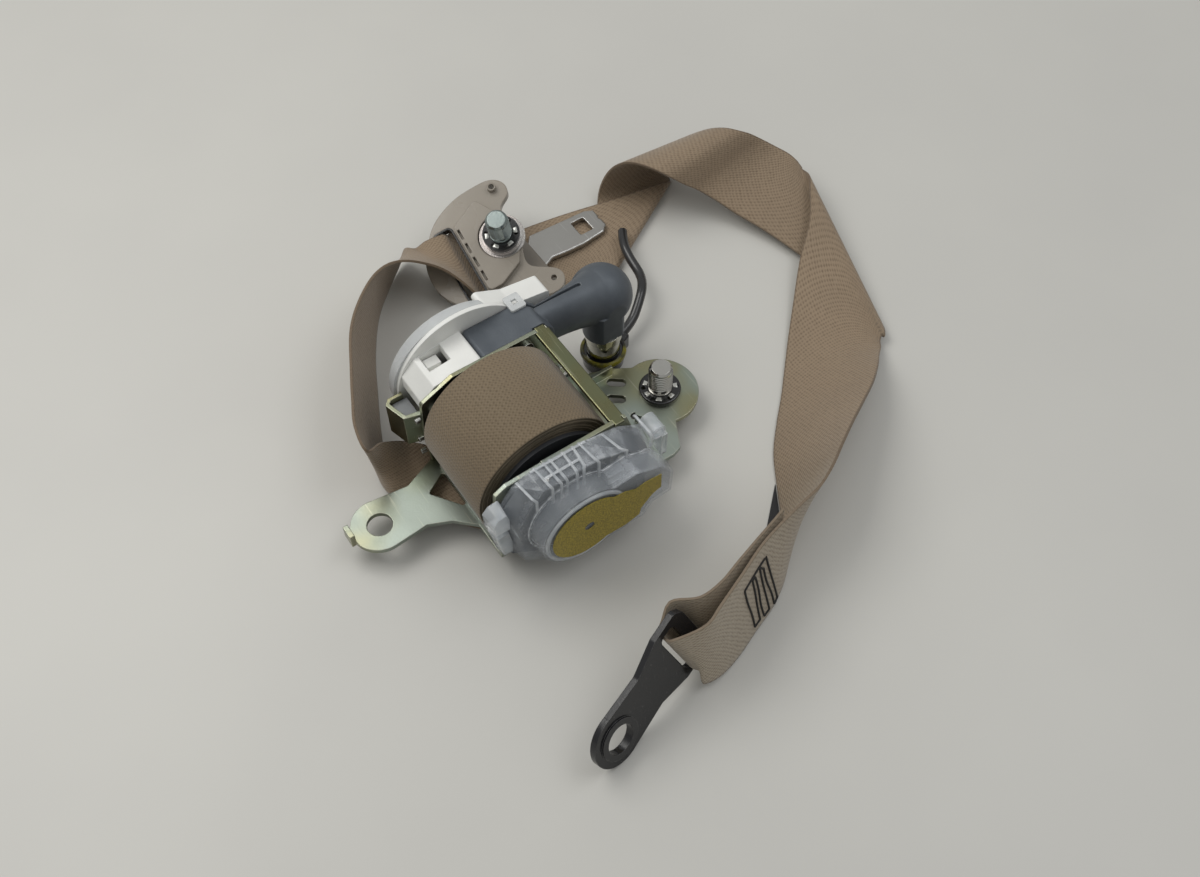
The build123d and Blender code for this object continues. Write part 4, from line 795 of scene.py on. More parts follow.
@dataclass
class Belt:
    """The laid webbing, from the roll through the guide ring to the sewn end."""

    finishes: Finishes
    exit_z: float = SPOOL_Z - ROLL_R - 0.4 - BELT_T / 2
    across_steps: int = 14
    sample: float = 2.5
    rounding: int = 6
    rounded_past: float = 0.6
    least_gap: float = 0.05
    probe: float = 0.05
    # Stations after the twist's start at which the belt's painted light begins.
    light_after: float = 1.0
    edge_round: float = 0.35
    starts: dict[str, int] = field(default_factory=dict)
    pairs: list[Pair] = field(default_factory=list)

    def __post_init__(self) -> None:
        """Lays out the edge points."""
        roll_end = ROLL_X + BELT_W
        self.lay("exit", [((ROLL_X, SPOOL_Y, self.exit_z), (roll_end, SPOOL_Y, self.exit_z)),
                          ((ROLL_X, -98, self.exit_z - 0.4), (roll_end - 1, -97, self.exit_z - 0.6))])
        self.lay("pass", [((-27, -102, 5.4), (19.5, -104, 4.4)), ((-37, -107, 7.5), (4, -117, 3)),
                          ((-43, -116, 12.5), (-12, -127, 1.6)), ((-38, -130, 30), (-28, -134.5, 0.8))])
        self.lay("loop", [((-30, -141, 43), (-42.5, -134, 0.8)), ((-41.6, -139.5, 46), (-53.5, -126, 0.8)),
                          ((-56, -133, 46), (-67.5, -119.5, 0.8)), ((-70.6, -125.7, 46), (-83.2, -112, 0.8)),
                          ((-92.4, -113.8, 46), (-106, -100.5, 0.8)),
                          ((-107.5, -101, 44), (-127.1, -86.4, 0.8))])
        self.lay("climb", [((-119.5, -86.5, 41), (-143.5, -69.5, 0.8)),
                           ((-123.0, -77.0, 39), (-149.0, -62.5, 2.0)),
                           ((-123.0, -69.0, 36), (-153.0, -57.0, 4.5)),
                           ((-121.0, -60.5, 31), (-152.0, -55.0, 9.5)),
                           (on_ring(5.0, -35.5, 14), on_ring(-18.5, -41.5, -1)),
                           (on_ring(11.5, -31.0, 9), on_ring(-18.5, -36.0, 1)),
                           (on_ring(19.0, -27.6, 4.5), on_ring(-17.8, -30.5, 1.6)),
                           (on_ring(22.8, -26.0, 0.5), on_ring(-17.6, -26.6, 0.5))])
        self.lay("guide", [(on_ring(23.5, -24.5, -4), on_ring(-18.0, -24.5, -4)),
                           (on_ring(25.0, -21.5, -7.2), on_ring(-20.0, -21.5, -7.6)),
                           ((-93.5, -28, 2.65), (-141, -26, 6.5)),
                           ((-88.5, -21.5, 2.65), (-136.2, -20.8, 2.65)),
                           ((-86.6, 1, 2.65), (-134.4, 3, 2.65)), ((-86.0, 9.5, 2.65), (-131, 27, 2.65)),
                           ((-83, 16, 3.4), (-123.5, 60, 3.6))])
        self.lay("fold", fold_over((-80, 28, 4.7), (-118, 93, 4.7), (0.863, 0.505, 0), 2.0, 1.209,
                                   Rise.DOWN))
        self.lay("under", [((-104, 37.8, 0.7), (-125.5, 96.4, 0.7)),
                           ((-121.5, 46.6, 0.8), (-127.5, 98, 0.9))])
        self.lay("curl", [((-128.6, 51.8, 4), (-129.9, 100.2, 4.0)),
                          ((-130.4, 55.0, 11), (-129.1, 103.4, 10.5)),
                          ((-129.6, 58.5, 18.5), (-127.9, 107.0, 16.2)),
                          ((-126.0, 61.3, 25.5), (-124.6, 109.6, 22.2)),
                          ((-120.3, 64.2, 31), (-119.9, 112.6, 27.2)),
                          ((-112.7, 67.6, 34), (-114.3, 116.1, 32.0)),
                          ((-105.0, 71.5, 34.3), (-109.2, 120.9, 34.0)),
                          ((-99.0, 77.0, 31), (-104.0, 125.7, 34.0)),
                          ((-95.8, 84.0, 24.5), (-100.6, 131.8, 31.2))])
        self.lay("cross", [((-92.5, 92.0, 18), (-97.5, 138.5, 25.8)),
                           ((-85.0, 98.5, 13), (-92.5, 144.7, 21.0)),
                           ((-74.4, 104.0, 9), (-86.0, 149.2, 18.2)),
                           ((-57.9, 111.0, 6), (-81.5, 150.6, 16.6)),
                           ((-38.0, 116.5, 4), (-79.0, 151.0, 15.4)),
                           ((-15.0, 121.0, 2.3), (-77.0, 151.0, 14.4))])
        self.lay("turn", fold_over((25.5, 122.0, 0.8), (-71.0, 150.0, 13.5), (0.279, 0.960, 0), 2.6, -2.225,
                                   Rise.UP, 8))
        self.lay("long", [((32.0, 116.3, 5), (-45, 131, 14)), ((34.0, 113.5, 4.5), (-30, 113, 8)),
                          ((37.5, 110.6, 5), (-8, 90.5, 3.6)), ((42.5, 104.5, 9), (5, 77.5, 1.8)),
                          ((50.0, 95.8, 16), (18, 65, 1.2)), ((60.3, 81.9, 24), (31, 52.5, 0.8)),
                          ((69.0, 67.2, 30.3), (42, 41, 0.8))])
        self.lay("twist", [((77.5, 52.3, 36), (55, 28.7, 0.8)), ((87.0, 36.5, 41.5), (69.2, 19.2, 0.8)),
                           ((94.5, 24.0, 44.2), (85, 9.3, 0.8)), ((99.6, 12.5, 45.0), (96, 2.6, 0.8)),
                           ((101.5, 2.0, 44.6), (107, -5.8, 0.8)), ((103.4, -9.0, 43.4), (117, -20.0, 0.8))])
        self.lay("front", [((107, -24, 42.5), (123.9, -37.3, 0.8)), ((114, -41, 43), (129.9, -53.1, 1)),
                           ((121, -58, 44), (132.5, -65.0, 2.5)), ((124.0, -67, 42), (131.8, -72.5, 5))])
        self.lay("throat", [in_slot(1.2, 6.8, 16.0), in_slot(2.2, 3.6, 14.2), in_slot(1.6, 0.0, 13.4),
                            in_slot(0.2, -3.2, 13.0), in_slot(-4.5, -5.0, 13.0)])
        self.lay("tail", [in_slot(-12, -5.0, 16.0), ((112.0, -61.5, 41.2), (119.9, -61.6, 4.0)),
                          ((111.6, -50.5, 42.0), (122.4, -53.5, 1.2)),
                          ((108.0, -38.5, 42.2), (120.8, -44.5, 0.8)),
                          ((103.8, -24.5, 42.2), (118.4, -32.5, 0.8)),
                          ((100.6, -13.0, 42.4), (114.6, -22.5, 0.8)),
                          ((98.8, -7.0, 42.6), (111.4, -17.0, 0.8))])

    def lay(self, name: str, pairs: list[Pair]) -> None:
        """Adds one stretch's pairs of edge points."""
        self.starts[name] = len(self.pairs)
        self.pairs += pairs

    def edge_point(self, edge: Edge, station: float) -> Vector:
        """Point of one edge on a smooth curve through the pairs.

        Args:
            edge: The belt's edge.
            station: Place along the belt, counted in pairs.
        Returns:
            The point in millimetres.
        """
        last = len(self.pairs) - 1
        index = min(int(station), last - 1)
        share = station - index
        near = [Vector(self.pairs[min(max(index + step, 0), last)][edge.value]) for step in (-1, 0, 1, 2)]
        gaps = [max((b - a).length, self.least_gap) ** 0.5 for a, b in zip(near, near[1:])]
        run_in = (near[1] - near[0]) / gaps[0] - (near[2] - near[0]) / (gaps[0] + gaps[1])
        run_in = (run_in + (near[2] - near[1]) / gaps[1]) * gaps[1]
        run_out = (near[2] - near[1]) / gaps[1] - (near[3] - near[1]) / (gaps[1] + gaps[2])
        run_out = (run_out + (near[3] - near[2]) / gaps[2]) * gaps[1]
        square, cube = share * share, share ** 3
        return (near[1] * (2 * cube - 3 * square + 1) + run_in * (cube - 2 * square + share)
                + near[2] * (3 * square - 2 * cube) + run_out * (cube - square))

    def spot(self, station: float, across: float) -> Vector:
        """Point of the belt's middle surface in millimetres.

        Args:
            station: Place along the belt, counted in pairs.
            across: Share of the width from the first edge.
        Returns:
            The point.
        """
        return self.edge_point(Edge.FIRST, station).lerp(self.edge_point(Edge.SECOND, station), across)

    def facing(self, station: float, across: float) -> Vector:
        """Direction out of the belt's face.

        Args:
            station: Place along the belt, counted in pairs.
            across: Share of the width from the first edge.
        Returns:
            The direction, of length 1.
        """
        ahead = self.spot(station + self.probe, across) - self.spot(station - self.probe, across)
        side = self.edge_point(Edge.SECOND, station) - self.edge_point(Edge.FIRST, station)
        return ahead.cross(side).normalized()

    def places(self) -> list[float]:
        """Stations of the sheet's rows.

        Returns:
            The stations, about one sample apart.
        """
        places = []
        for index in range(len(self.pairs) - 1):
            runs = [self.edge_point(edge, index + 1) - self.edge_point(edge, index) for edge in Edge]
            count = max(2, round(max(run.length for run in runs) / self.sample))
            places += [index + step / count for step in range(count)]
        return places + [len(self.pairs) - 1.0]

    def relax(self, points: list[Vector], places: list[float]) -> None:
        """Rounds the sharp tips of the second fold by averaging along the belt.

        Args:
            points: The sheet's points, row after row, changed in place.
            places: Each row's station.
        """
        width = self.across_steps + 1
        low, high = self.starts["turn"] - self.rounded_past, self.starts["long"] + self.rounded_past
        rows = [row for row, place in enumerate(places) if low < place < high]
        for _ in range(self.rounding):
            held = [point.copy() for point in points]
            for row in rows:
                for here in range(row * width, (row + 1) * width):
                    points[here] = held[here] * 0.5 + (held[here - width] + held[here + width]) * 0.25

    def build(self) -> bpy.types.Object:
        """Makes the laid belt as one sheet with its thickness.

        Returns:
            The belt.
        """
        places = self.places()
        width = self.across_steps + 1
        points, faces, metres = [], [], []
        travelled = 0.0
        middle = self.spot(places[0], 0.5)
        for place in places:
            here = self.spot(place, 0.5)
            travelled += (here - middle).length * MM
            middle = here
            for step in range(width):
                points.append(self.spot(place, step / self.across_steps) * MM)
                metres.append((BELT_W * MM * step / self.across_steps, travelled))
        self.relax(points, places)
        for row in range(len(places) - 1):
            for first in range(row * width, (row + 1) * width - 1):
                faces.append((first, first + 1, first + width + 1, first + width))
        belt = mesh_object("belt", points, [], faces)
        layer = belt.data.uv_layers.new(name="belt")
        for loop in belt.data.loops:
            layer.data[loop.index].uv = metres[loop.vertex_index]
        # Where the belt's painted light begins.
        light_from = self.starts["twist"] + self.light_after
        first_light = next(row for row, place in enumerate(places) if place > light_from)
        finish = replace(Finishes.BELT, painted_light_from=metres[first_light * width][1])
        belt.data.materials.append(self.finishes.get(finish))
        apply_modifier(belt, "SOLIDIFY", thickness=BELT_T * MM, offset=0.0)
        round_edges(belt, self.edge_round, sharper=50)
        smooth(belt, 50)
        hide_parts(*[f"webbing_{name}" for name in self.starts])
        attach(belt, "root")
        log.info("belt laid, %.3f m long", travelled)
        return belt


@dataclass
class Roll:
    """Webbing wound on the spool, with its turns showing at both sides."""

    finishes: Finishes
    inner_r: float = 18.2
    turns: int = 13
    steps: int = 96
    uneven: float = 0.25
    uneven_turn: float = 2.4
    skin: float = 0.25
    turn_shape: tuple[Spot, ...] = ((0.08, -0.55), (0.3, 0.0), (0.78, 0.0), (1.0, -0.55))

    def polar(self, point: Vector) -> Spot:
        """Angle and distance of a point from the spool's axis, in metres."""
        z, y = point.z - SPOOL_Z * MM, point.y - SPOOL_Y * MM
        return math.atan2(z, y), math.hypot(z, y)

    def unroll(self, roll: bpy.types.Object) -> None:
        """Gives each face its finish and a map of metres across and along the strap.

        Args:
            roll: The roll, with the finish of its outside first and of its sides second.
        """
        layer = roll.data.uv_layers.new(name="belt")
        for face in roll.data.polygons:
            about, reach = self.polar(face.center)
            outside = reach > (ROLL_R - self.skin) * MM and abs(face.normal.x) < 0.5
            face.material_index = 0 if outside else 1
            for loop in face.loop_indices:
                point = roll.data.vertices[roll.data.loops[loop].vertex_index].co
                angle, _ = self.polar(point)
                angle += FULL_TURN * round((about - angle) / FULL_TURN)
                layer.data[loop].uv = (point.x, angle * ROLL_R * MM)

    def build(self) -> bpy.types.Object:
        """Makes the roll.

        Returns:
            The roll, riding on the spool.
        """
        pitch = (ROLL_R - self.inner_r) / self.turns
        side = []
        for turn in range(self.turns):
            low = self.inner_r + turn * pitch
            lift = self.uneven * math.sin(turn * self.uneven_turn) - self.uneven
            side += [(low + share * pitch, lift + drop) for share, drop in self.turn_shape]
        near = [(radius, ROLL_X + BELT_W + height) for radius, height in side]
        far = [(radius, ROLL_X - height) for radius, height in reversed(side)]
        place = Matrix.Translation((0, SPOOL_Y, SPOOL_Z)) @ Z_ALONG_X
        roll = spun("belt_roll", near + far + near[:1], self.steps, place)
        roll.data.materials.append(self.finishes.get(Finishes.ROLLED))
        roll.data.materials.append(self.finishes.get(Finishes.ROLL_SIDE))
        self.unroll(roll)
        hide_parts("webbing_roll")
        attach(roll, "spool")
        return roll


@dataclass
class Stud:
    """Cut thread on a bolt's free end, with its tooth's corners as shares of the pitch."""

    name: str
    body: str
    place: Matrix
    low: float
    high: float
    crest: float = 5.95
    root: float = 5.36
    pitch: float = 1.4
    crest_from: float = 0.34
    crest_to: float = 0.48
    tooth_to: float = 0.82
    steps: int = 40

    def build(self, finishes: Finishes, finish: Finish) -> bpy.types.Object:
        """Makes the thread by screwing one closed tooth's profile up the stud.

        Args:
            finishes: The shared finishes.
            finish: The bolt's finish.
        Returns:
            The thread, capped at both ends.
        """
        tooth = [(self.root, 0.0), (self.crest, self.crest_from * self.pitch),
                 (self.crest, self.crest_to * self.pitch), (self.root, self.tooth_to * self.pitch)]
        points = [Vector((radius * MM, 0, (self.low + height) * MM)) for radius, height in tooth]
        thread = mesh_object(self.name, points, [(i, (i + 1) % len(tooth)) for i in range(len(tooth))], [])
        turns = int((self.high - self.low) / self.pitch) - 1
        apply_modifier(thread, "SCREW", angle=FULL_TURN, screw_offset=self.pitch * MM, iterations=turns,
                       steps=self.steps, render_steps=self.steps, use_normal_calculate=True)
        choose(thread)
        bpy.ops.object.mode_set(mode="EDIT")
        bpy.ops.mesh.select_mode(type="EDGE")
        bpy.ops.mesh.select_all(action="DESELECT")
        bpy.ops.mesh.select_non_manifold()
        bpy.ops.mesh.fill()
        bpy.ops.object.mode_set(mode="OBJECT")
        face_outward(thread)
        thread.data.transform(metric(self.place))
        smooth(thread)
        thread.data.materials.append(finishes.get(finish))
        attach(thread, self.body)
        return thread


@dataclass
class ClearCover:
    """Clear moulding over the locking gear, with its ribs, catches and blank yellow film.

    Outlines are (y, z) points in millimetres, as seen along x.
    """

    finishes: Finishes
    back_x: float = 34.1
    skirt_x: float = 45.9
    face_x: float = 55.8
    disc_y: float = -80.2
    disc_z: float = 38.6
    drum_r: float = 22.6
    drum_draft: float = 1.2
    film_r: float = 18.4
    film_out: float = 0.95
    film_wall: float = 0.3
    hole: tuple[float, float, float] = (-79.6, 39.4, 2.5)
    hole_steps: int = 24
    catch_wall: float = 1.1
    catch_x: float = 42.5
    latch_x: float = 41.0
    drawn_in: Spot = (0.8, 0.85)
    boss_at: Point = (47.4, -61.0, 53.0)
    boss_size: Point = (5.5, 8.5, 6.0)
    tab_at: Point = (38.0, -28.8, 41.0)
    tab_size: Point = (7.5, 3.2, 15)
    tab_frame: float = 0.8
    post_at: Spot = (-34.0, 56.0)
    post_r: float = 4.2
    post_high: float = 9.5
    rib_width: float = 1.2
    rib_top: float = 68.0
    side_rib_top: float = 64.8
    high_stretch: Spot = (-97.0, -65.0)
    rib_front: Spot = (45.4, 46.9)
    rib_foot: float = 55.0
    skirt_back: tuple[Spot, ...] = ((-113, 52), (-104, 63), (-96, 67), (-66, 67), (-50, 64), (-37, 55),
                                    (-31, 34), (-32, 14), (-44, 5), (-94, 5), (-109, 17))
    skirt_front: tuple[Spot, ...] = ((-109, 47), (-101.5, 59.5), (-95, 66.6), (-67, 66.6), (-52, 60),
                                     (-39.5, 50), (-33, 34), (-34, 15.5), (-45, 7), (-93, 7), (-106, 19))
    tongue: tuple[Spot, ...] = ((-60.5, 22.3), (-53.0, 24.6), (-52.2, 28.9), (-46.3, 35.4), (-41.6, 37.2),
                                (-41.8, 47.6), (-50.5, 48.6), (-55.5, 47.4), (-61.5, 50.6))
    catch: tuple[Spot, ...] = ((-118.5, 45), (-119, 55), (-116, 58.5), (-111, 59), (-109.5, 54), (-109.5, 45))
    latch: tuple[Spot, ...] = ((-114.5, 23), (-117.5, 41), (-114, 42), (-110, 41), (-108.5, 32), (-109, 22))
    rib_runs: tuple[Spot, ...] = ((-101.5, -99.0), (-92.5, -91.0), (-87.8, -86.6), (-84.6, -83.7),
                                  (-78.2, -78.6), (-73.1, -75.2), (-69.8, -67.6), (-58.0, -53.2),
                                  (-40.6, -40.2))
    cross_ribs: tuple[Point, ...] = ((35.4, -95, -67), (41.5, -91.6, -74.2))

    def arc(self, radius: float, start: float, end: float, steps: int) -> list[Spot]:
        """Points of an arc about the film's middle.

        Args:
            radius: Its radius.
            start: Its first angle in degrees.
            end: Its last angle.
            steps: Steps between them.
        Returns:
            The points.
        """
        turns = [math.radians(start + (end - start) * step / steps) for step in range(steps + 1)]
        return [(self.disc_y + radius * math.cos(turn), self.disc_z + radius * math.sin(turn))
                for turn in turns]

    def skirt(self) -> bpy.types.Object:
        """Tray that stands on the near plate."""
        return shell("skirt", self.skirt_back, self.back_x, self.skirt_front, self.skirt_x)

    def drum_outline(self, grow: float) -> list[Spot]:
        """Outline of the drum and the arm beside it.

        Args:
            grow: How much it is larger than at its face.
        Returns:
            Its points.
        """
        arm = [(-49.5, 18.5 - grow), (-44.5, 25.5 - grow), (-34.5 + grow, 26.5 - grow),
               (-34.0 + grow, 41.5), (-40.5, 51.0 + grow), (-54.0, 57.0 + grow)]
        return self.arc(self.drum_r + grow, 50, 292, 40) + arm

    def drum(self) -> bpy.types.Object:
        """Raised drum with its arm, which carry the film."""
        return shell("drum", self.drum_outline(self.drum_draft), self.skirt_x - 1.0, self.drum_outline(0.0),
                     self.face_x)

    def ribs(self) -> list[bpy.types.Object]:
        """Ribs from the plate down to the drum, and two that cross them.

        Returns:
            The ribs.
        """
        parts = []
        low, high = self.high_stretch
        bend_x, front_x = self.rib_front
        for start, end in self.rib_runs:
            top = self.rib_top if low < start < high else self.side_rib_top
            path = [(self.back_x + 0.4, start, top), (bend_x, (start + end) / 2, top),
                    (front_x, end, top - 1.5), (front_x, end, self.rib_foot)]
            parts.append(strip("rib", path, (0, 1, 0), self.rib_width, 1.8))
        for x, start, end in self.cross_ribs:
            path = [(x, start, 67.8), (x, end, 67.8)]
            parts.append(strip("cross_rib", path, (1, 0, 0), self.rib_width, 1.4))
        return parts

    def boss(self, centre: Point, size: Point, inset: float = 1.5, sunk: float = 0.8) -> bpy.types.Object:
        """Snap boss: a rounded block with a sunk window on its front and top.

        Args:
            centre: Its middle in millimetres.
            size: Its length along x, y and z.
            inset: Width of the window's frame.
            sunk: How far the window lies back.
        Returns:
            The boss.
        """
        deselect()
        bpy.ops.mesh.primitive_cube_add(size=1.0)
        block = bpy.context.view_layer.objects.active
        stretch = Matrix.Diagonal((*(Vector(size) * MM), 1))
        block.data.transform(Matrix.Translation(Vector(centre) * MM) @ stretch)
        choose(block)
        bpy.ops.object.mode_set(mode="EDIT")
        bpy.ops.mesh.select_mode(type="FACE")
        bpy.ops.mesh.select_all(action="DESELECT")
        bpy.ops.object.mode_set(mode="OBJECT")
        for face in block.data.polygons:
            face.select = face.normal.x > FACING or face.normal.z > FACING
        bpy.ops.object.mode_set(mode="EDIT")
        bpy.ops.mesh.inset(thickness=inset * MM, use_individual=True)
        bpy.ops.transform.translate(value=(-sunk * MM, 0, -sunk * MM))
        bpy.ops.object.mode_set(mode="OBJECT")
        round_edges(block, 0.4)
        return block

    def tray(self, name: str, outline: Sequence[Spot], front_x: float) -> bpy.types.Object:
        """Small tray whose front is drawn in about its middle.

        Args:
            name: Its name.
            outline: Its outline at the back.
            front_x: The front's x.
        Returns:
            The tray.
        """
        middle_y = sum(y for y, _ in outline) / len(outline)
        middle_z = sum(z for _, z in outline) / len(outline)
        share_y, share_z = self.drawn_in
        front = [(middle_y + (y - middle_y) * share_y, middle_z + (z - middle_z) * share_z)
                 for y, z in outline]
        return shell(name, outline, self.back_x, front, front_x, self.catch_wall)

    def post(self) -> bpy.types.Object:
        """Hollow round post beside the skirt.

        Returns:
            The post.
        """
        radius, high = self.post_r, self.post_high
        place = Matrix.Translation((self.back_x, *self.post_at)) @ Z_ALONG_X
        profile = [(0, 0), (radius, 0), (radius, high - 0.6), (radius - 0.6, high), (radius - 1.4, high),
                   (radius - 1.6, high - 3), (0, high - 3)]
        return spun("post", profile, 32, place)

    def ridge(self) -> bpy.types.Object:
        """Grey ridge round the film.

        Returns:
            The ridge.
        """
        place = Matrix.Translation((self.face_x - 0.3, self.disc_y, self.disc_z)) @ Z_ALONG_X
        profile = [(19.6, 0), (21.4, 0), (21.3, 0.8), (20.9, 1.1), (20.0, 1.1), (19.7, 0.8), (19.6, 0)]
        return spun("ridge", profile, 72, place)

    def film(self) -> bpy.types.Object:
        """Blank yellow film: a disc and the tongue that joins it on the arm.

        Returns:
            The film, in place of the plain CAD one.
        """
        rim = [*self.arc(self.film_r, 44, 300, 44), *self.tongue]
        hole_y, hole_z, hole_r = self.hole
        turns = [FULL_TURN * step / self.hole_steps for step in range(self.hole_steps)]
        hole = [(hole_y + hole_r * math.cos(turn), hole_z + hole_r * math.sin(turn)) for turn in turns]
        points = [Vector((self.face_x + self.film_out, y, z)) * MM for y, z in rim + hole]
        edges = [(i, (i + 1) % len(rim)) for i in range(len(rim))]
        edges += [(len(rim) + i, len(rim) + (i + 1) % len(hole)) for i in range(len(hole))]
        film = mesh_object("blank_film", points, edges, [])
        choose(film)
        bpy.ops.object.mode_set(mode="EDIT")
        bpy.ops.mesh.select_all(action="SELECT")
        bpy.ops.mesh.fill()
        bpy.ops.object.mode_set(mode="OBJECT")
        if film.data.polygons[0].normal.x < 0:
            film.data.flip_normals()
        apply_modifier(film, "SOLIDIFY", thickness=self.film_wall * MM, offset=1.0)
        film.data.materials.append(self.finishes.get(Finishes.LABEL))
        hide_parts("cover_label")
        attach(film, "root")
        return film

    def build(self) -> list[bpy.types.Object]:
        """Makes the cover and its film.

        Returns:
            The cover's shells, its ribs and posts, and the film.
        """
        cover = joined("cover_shells", [self.skirt(), self.drum()])
        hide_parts("clear_cover")
        details = [*self.ribs(), self.ridge(), self.boss(self.boss_at, self.boss_size),
                   self.tray("catch", self.catch, self.catch_x), self.tray("latch", self.latch, self.latch_x),
                   self.boss(self.tab_at, self.tab_size, self.tab_frame), self.post()]
        trim = joined("cover_ribs", details)
        cover.data.materials.append(self.finishes.get(Finishes.CLEAR))
        trim.data.materials.append(self.finishes.get(Finishes.CLEAR_RIB))
        for piece in (cover, trim):
            smooth(piece, 35)
            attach(piece, "root")
        return [cover, trim, self.film()]


@dataclass
class RetainerTeeth:
    """Bright gaps that show between a retainer's teeth."""

    name: str
    body: str
    place: Matrix
    height: float
    inner: float
    outer: float
    count: int = 7
    half: float = 10.0
    first_angle: float = 12.0
    levels: Spot = (-0.3, 0.12)
    edge_round: float = 0.12

    def build(self, finishes: Finishes) -> bpy.types.Object:
        """Makes the pads as one object, each a rounded wedge.

        Args:
            finishes: The shared finishes.
        Returns:
            The pads.
        """
        corners = ((self.inner, -self.half), (self.outer, -self.half), (self.outer, self.half),
                   (self.inner, self.half))
        points, faces = [], []
        for index in range(self.count):
            middle = 360.0 * index / self.count + self.first_angle
            first = len(points)
            for lift in self.levels:
                for radius, turn in corners:
                    angle = math.radians(middle + turn)
                    points.append(Vector((radius * math.cos(angle), radius * math.sin(angle),
                                          self.height + lift)) * MM)
            faces += [tuple(first + i for i in (3, 2, 1, 0)), tuple(first + i for i in (4, 5, 6, 7))]
            faces += [(first + i, first + (i + 1) % 4, first + 4 + (i + 1) % 4, first + 4 + i)
                      for i in range(4)]
        pads = mesh_object(self.name, points, [], faces)
        pads.data.transform(metric(self.place))
        round_edges(pads, self.edge_round)
        smooth(pads)
        pads.data.materials.append(finishes.get(Finishes.PALE))
        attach(pads, self.body)
        return pads


@dataclass
class Collar:
    """Yellow and black seal round the gas can's connector."""

    finishes: Finishes
    centre: Spot = (-37.5, -7.5)
    steps: int = 56
    profile: tuple[Spot, ...] = ((9.6, 11.1), (10.5, 11.05), (10.6, 9.4), (11.3, 9.3), (11.6, 9.8),
                                 (11.5, 11.2), (10.9, 11.9), (9.8, 11.9), (9.6, 11.1))

    def build(self) -> bpy.types.Object:
        """Makes the seal.

        Returns:
            The seal, on the frame.
        """
        seal = spun("connector_seal", self.profile, self.steps, Matrix.Translation((*self.centre, 0)))
        seal.data.materials.append(self.finishes.get(Finishes.COLLAR))
        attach(seal, "root")
        return seal


@dataclass
class Stitching:
    """Black seam sewn in long loops through the belt's end.

    Turns are places where the seam turns back: stations after the front stretch's start, and shares of the
    belt's width.
    """

    belt: Belt
    finishes: Finishes
    lift: float = 0.85
    thread_r: float = 0.5
    sway: float = 0.035
    sway_turn: float = 2.3
    shares: tuple[float, ...] = (0.0, 0.06, 0.35, 0.65, 0.94)
    turns: tuple[Spot, ...] = ((-0.10, 0.18), (-0.96, 0.94), (-0.80, 0.96), (-0.04, 0.29),
                               (0.18, 0.22), (-0.56, 0.93), (-0.34, 0.93), (0.38, 0.25),
                               (0.52, 0.24), (-0.14, 0.90), (0.12, 0.90), (0.90, 0.22))

    def route(self) -> list[Vector]:
        """Control points of the seam, line after line and back along the belt's edge.

        Returns:
            The points on the belt's outer face, in millimetres.
        """
        start = self.belt.starts["front"]
        corners = [*self.turns, self.turns[0]]
        points = []
        for index, (first, second) in enumerate(zip(corners, corners[1:])):
            wave = self.sway * math.sin(self.sway_turn * index)
            for share in self.shares:
                swing = wave * math.sin(FULL_TURN * share)
                station = start + first[0] + (second[0] - first[0]) * share + swing
                across = first[1] + (second[1] - first[1]) * share
                out = self.belt.facing(station, across)
                out = out if out.x > 0 else -out
                points.append(self.belt.spot(station, across) + out * self.lift)
        return points

    def build(self) -> bpy.types.Object:
        """Makes the seam as a fine tube.

        Returns:
            The seam.
        """
        choose(tube("end_stitching", self.route(), self.thread_r, 2, 6))
        bpy.ops.object.convert(target="MESH")
        seam = bpy.context.view_layer.objects.active
        smooth(seam, 60)
        seam.data.materials.append(self.finishes.get(Finishes.THREAD))
        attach(seam, "root")
        return seam


@dataclass
class Lead:
    """Round black lead from the connector to where it ends on the belt."""

    finishes: Finishes
    diameter: float = 5.0
    length: float = 72.9
    route: tuple[Point, ...] = ((-42.56, 7.17, 7.0), (-45.7, 15.8, 7.0), (-51.5, 24.0, 10.5),
                                (-58.3, 31.5, 12.0), (-67.3, 36.8, 9.5), (-79.2, 38.2, 10.0),
                                (-90.0, 41.2, 10.5), (-97.8, 46.6, 9.0))

    def build(self) -> bpy.types.Object:
        """Returns:
            The lead.
        """
        lead = tube("lead_sleeve", [Vector(point) for point in self.route], self.diameter / 2, 5, 16)
        lead.data.materials.append(self.finishes.get(Finishes.BLACK_SLEEVE))
        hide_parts("lead")
        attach(lead, "root")
        return lead


@dataclass
class WovenLabel:
    """Blank black woven label beside the sewn end."""

    finishes: Finishes
    height: float = 0.5
    wall: float = 0.5
    edge_round: float = 0.12
    cuts: int = 5
    outline: tuple[Spot, ...] = ((68.8, 18.3), (87.0, 6.9), (101.4, -3.0), (97.5, -6.6), (88.5, -3.5))

    def build(self) -> bpy.types.Object:
        """Makes the label.

        Returns:
            The label.
        """
        points = [Vector((x * MM, y * MM, self.height * MM)) for x, y in self.outline]
        label = mesh_object("sewn_label", points, [], [tuple(range(len(points)))])
        choose(label)
        bpy.ops.object.mode_set(mode="EDIT")
        bpy.ops.mesh.select_all(action="SELECT")
        bpy.ops.mesh.quads_convert_to_tris()
        bpy.ops.mesh.subdivide(number_cuts=self.cuts)
        bpy.ops.object.mode_set(mode="OBJECT")
        apply_modifier(label, "SOLIDIFY", thickness=self.wall * MM, offset=0.0)
        round_edges(label, self.edge_round)
        smooth(label)
        label.data.materials.append(self.finishes.get(Finishes.BLACK_WEAVE))
        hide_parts("woven_label")
        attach(label, "root")
        return label


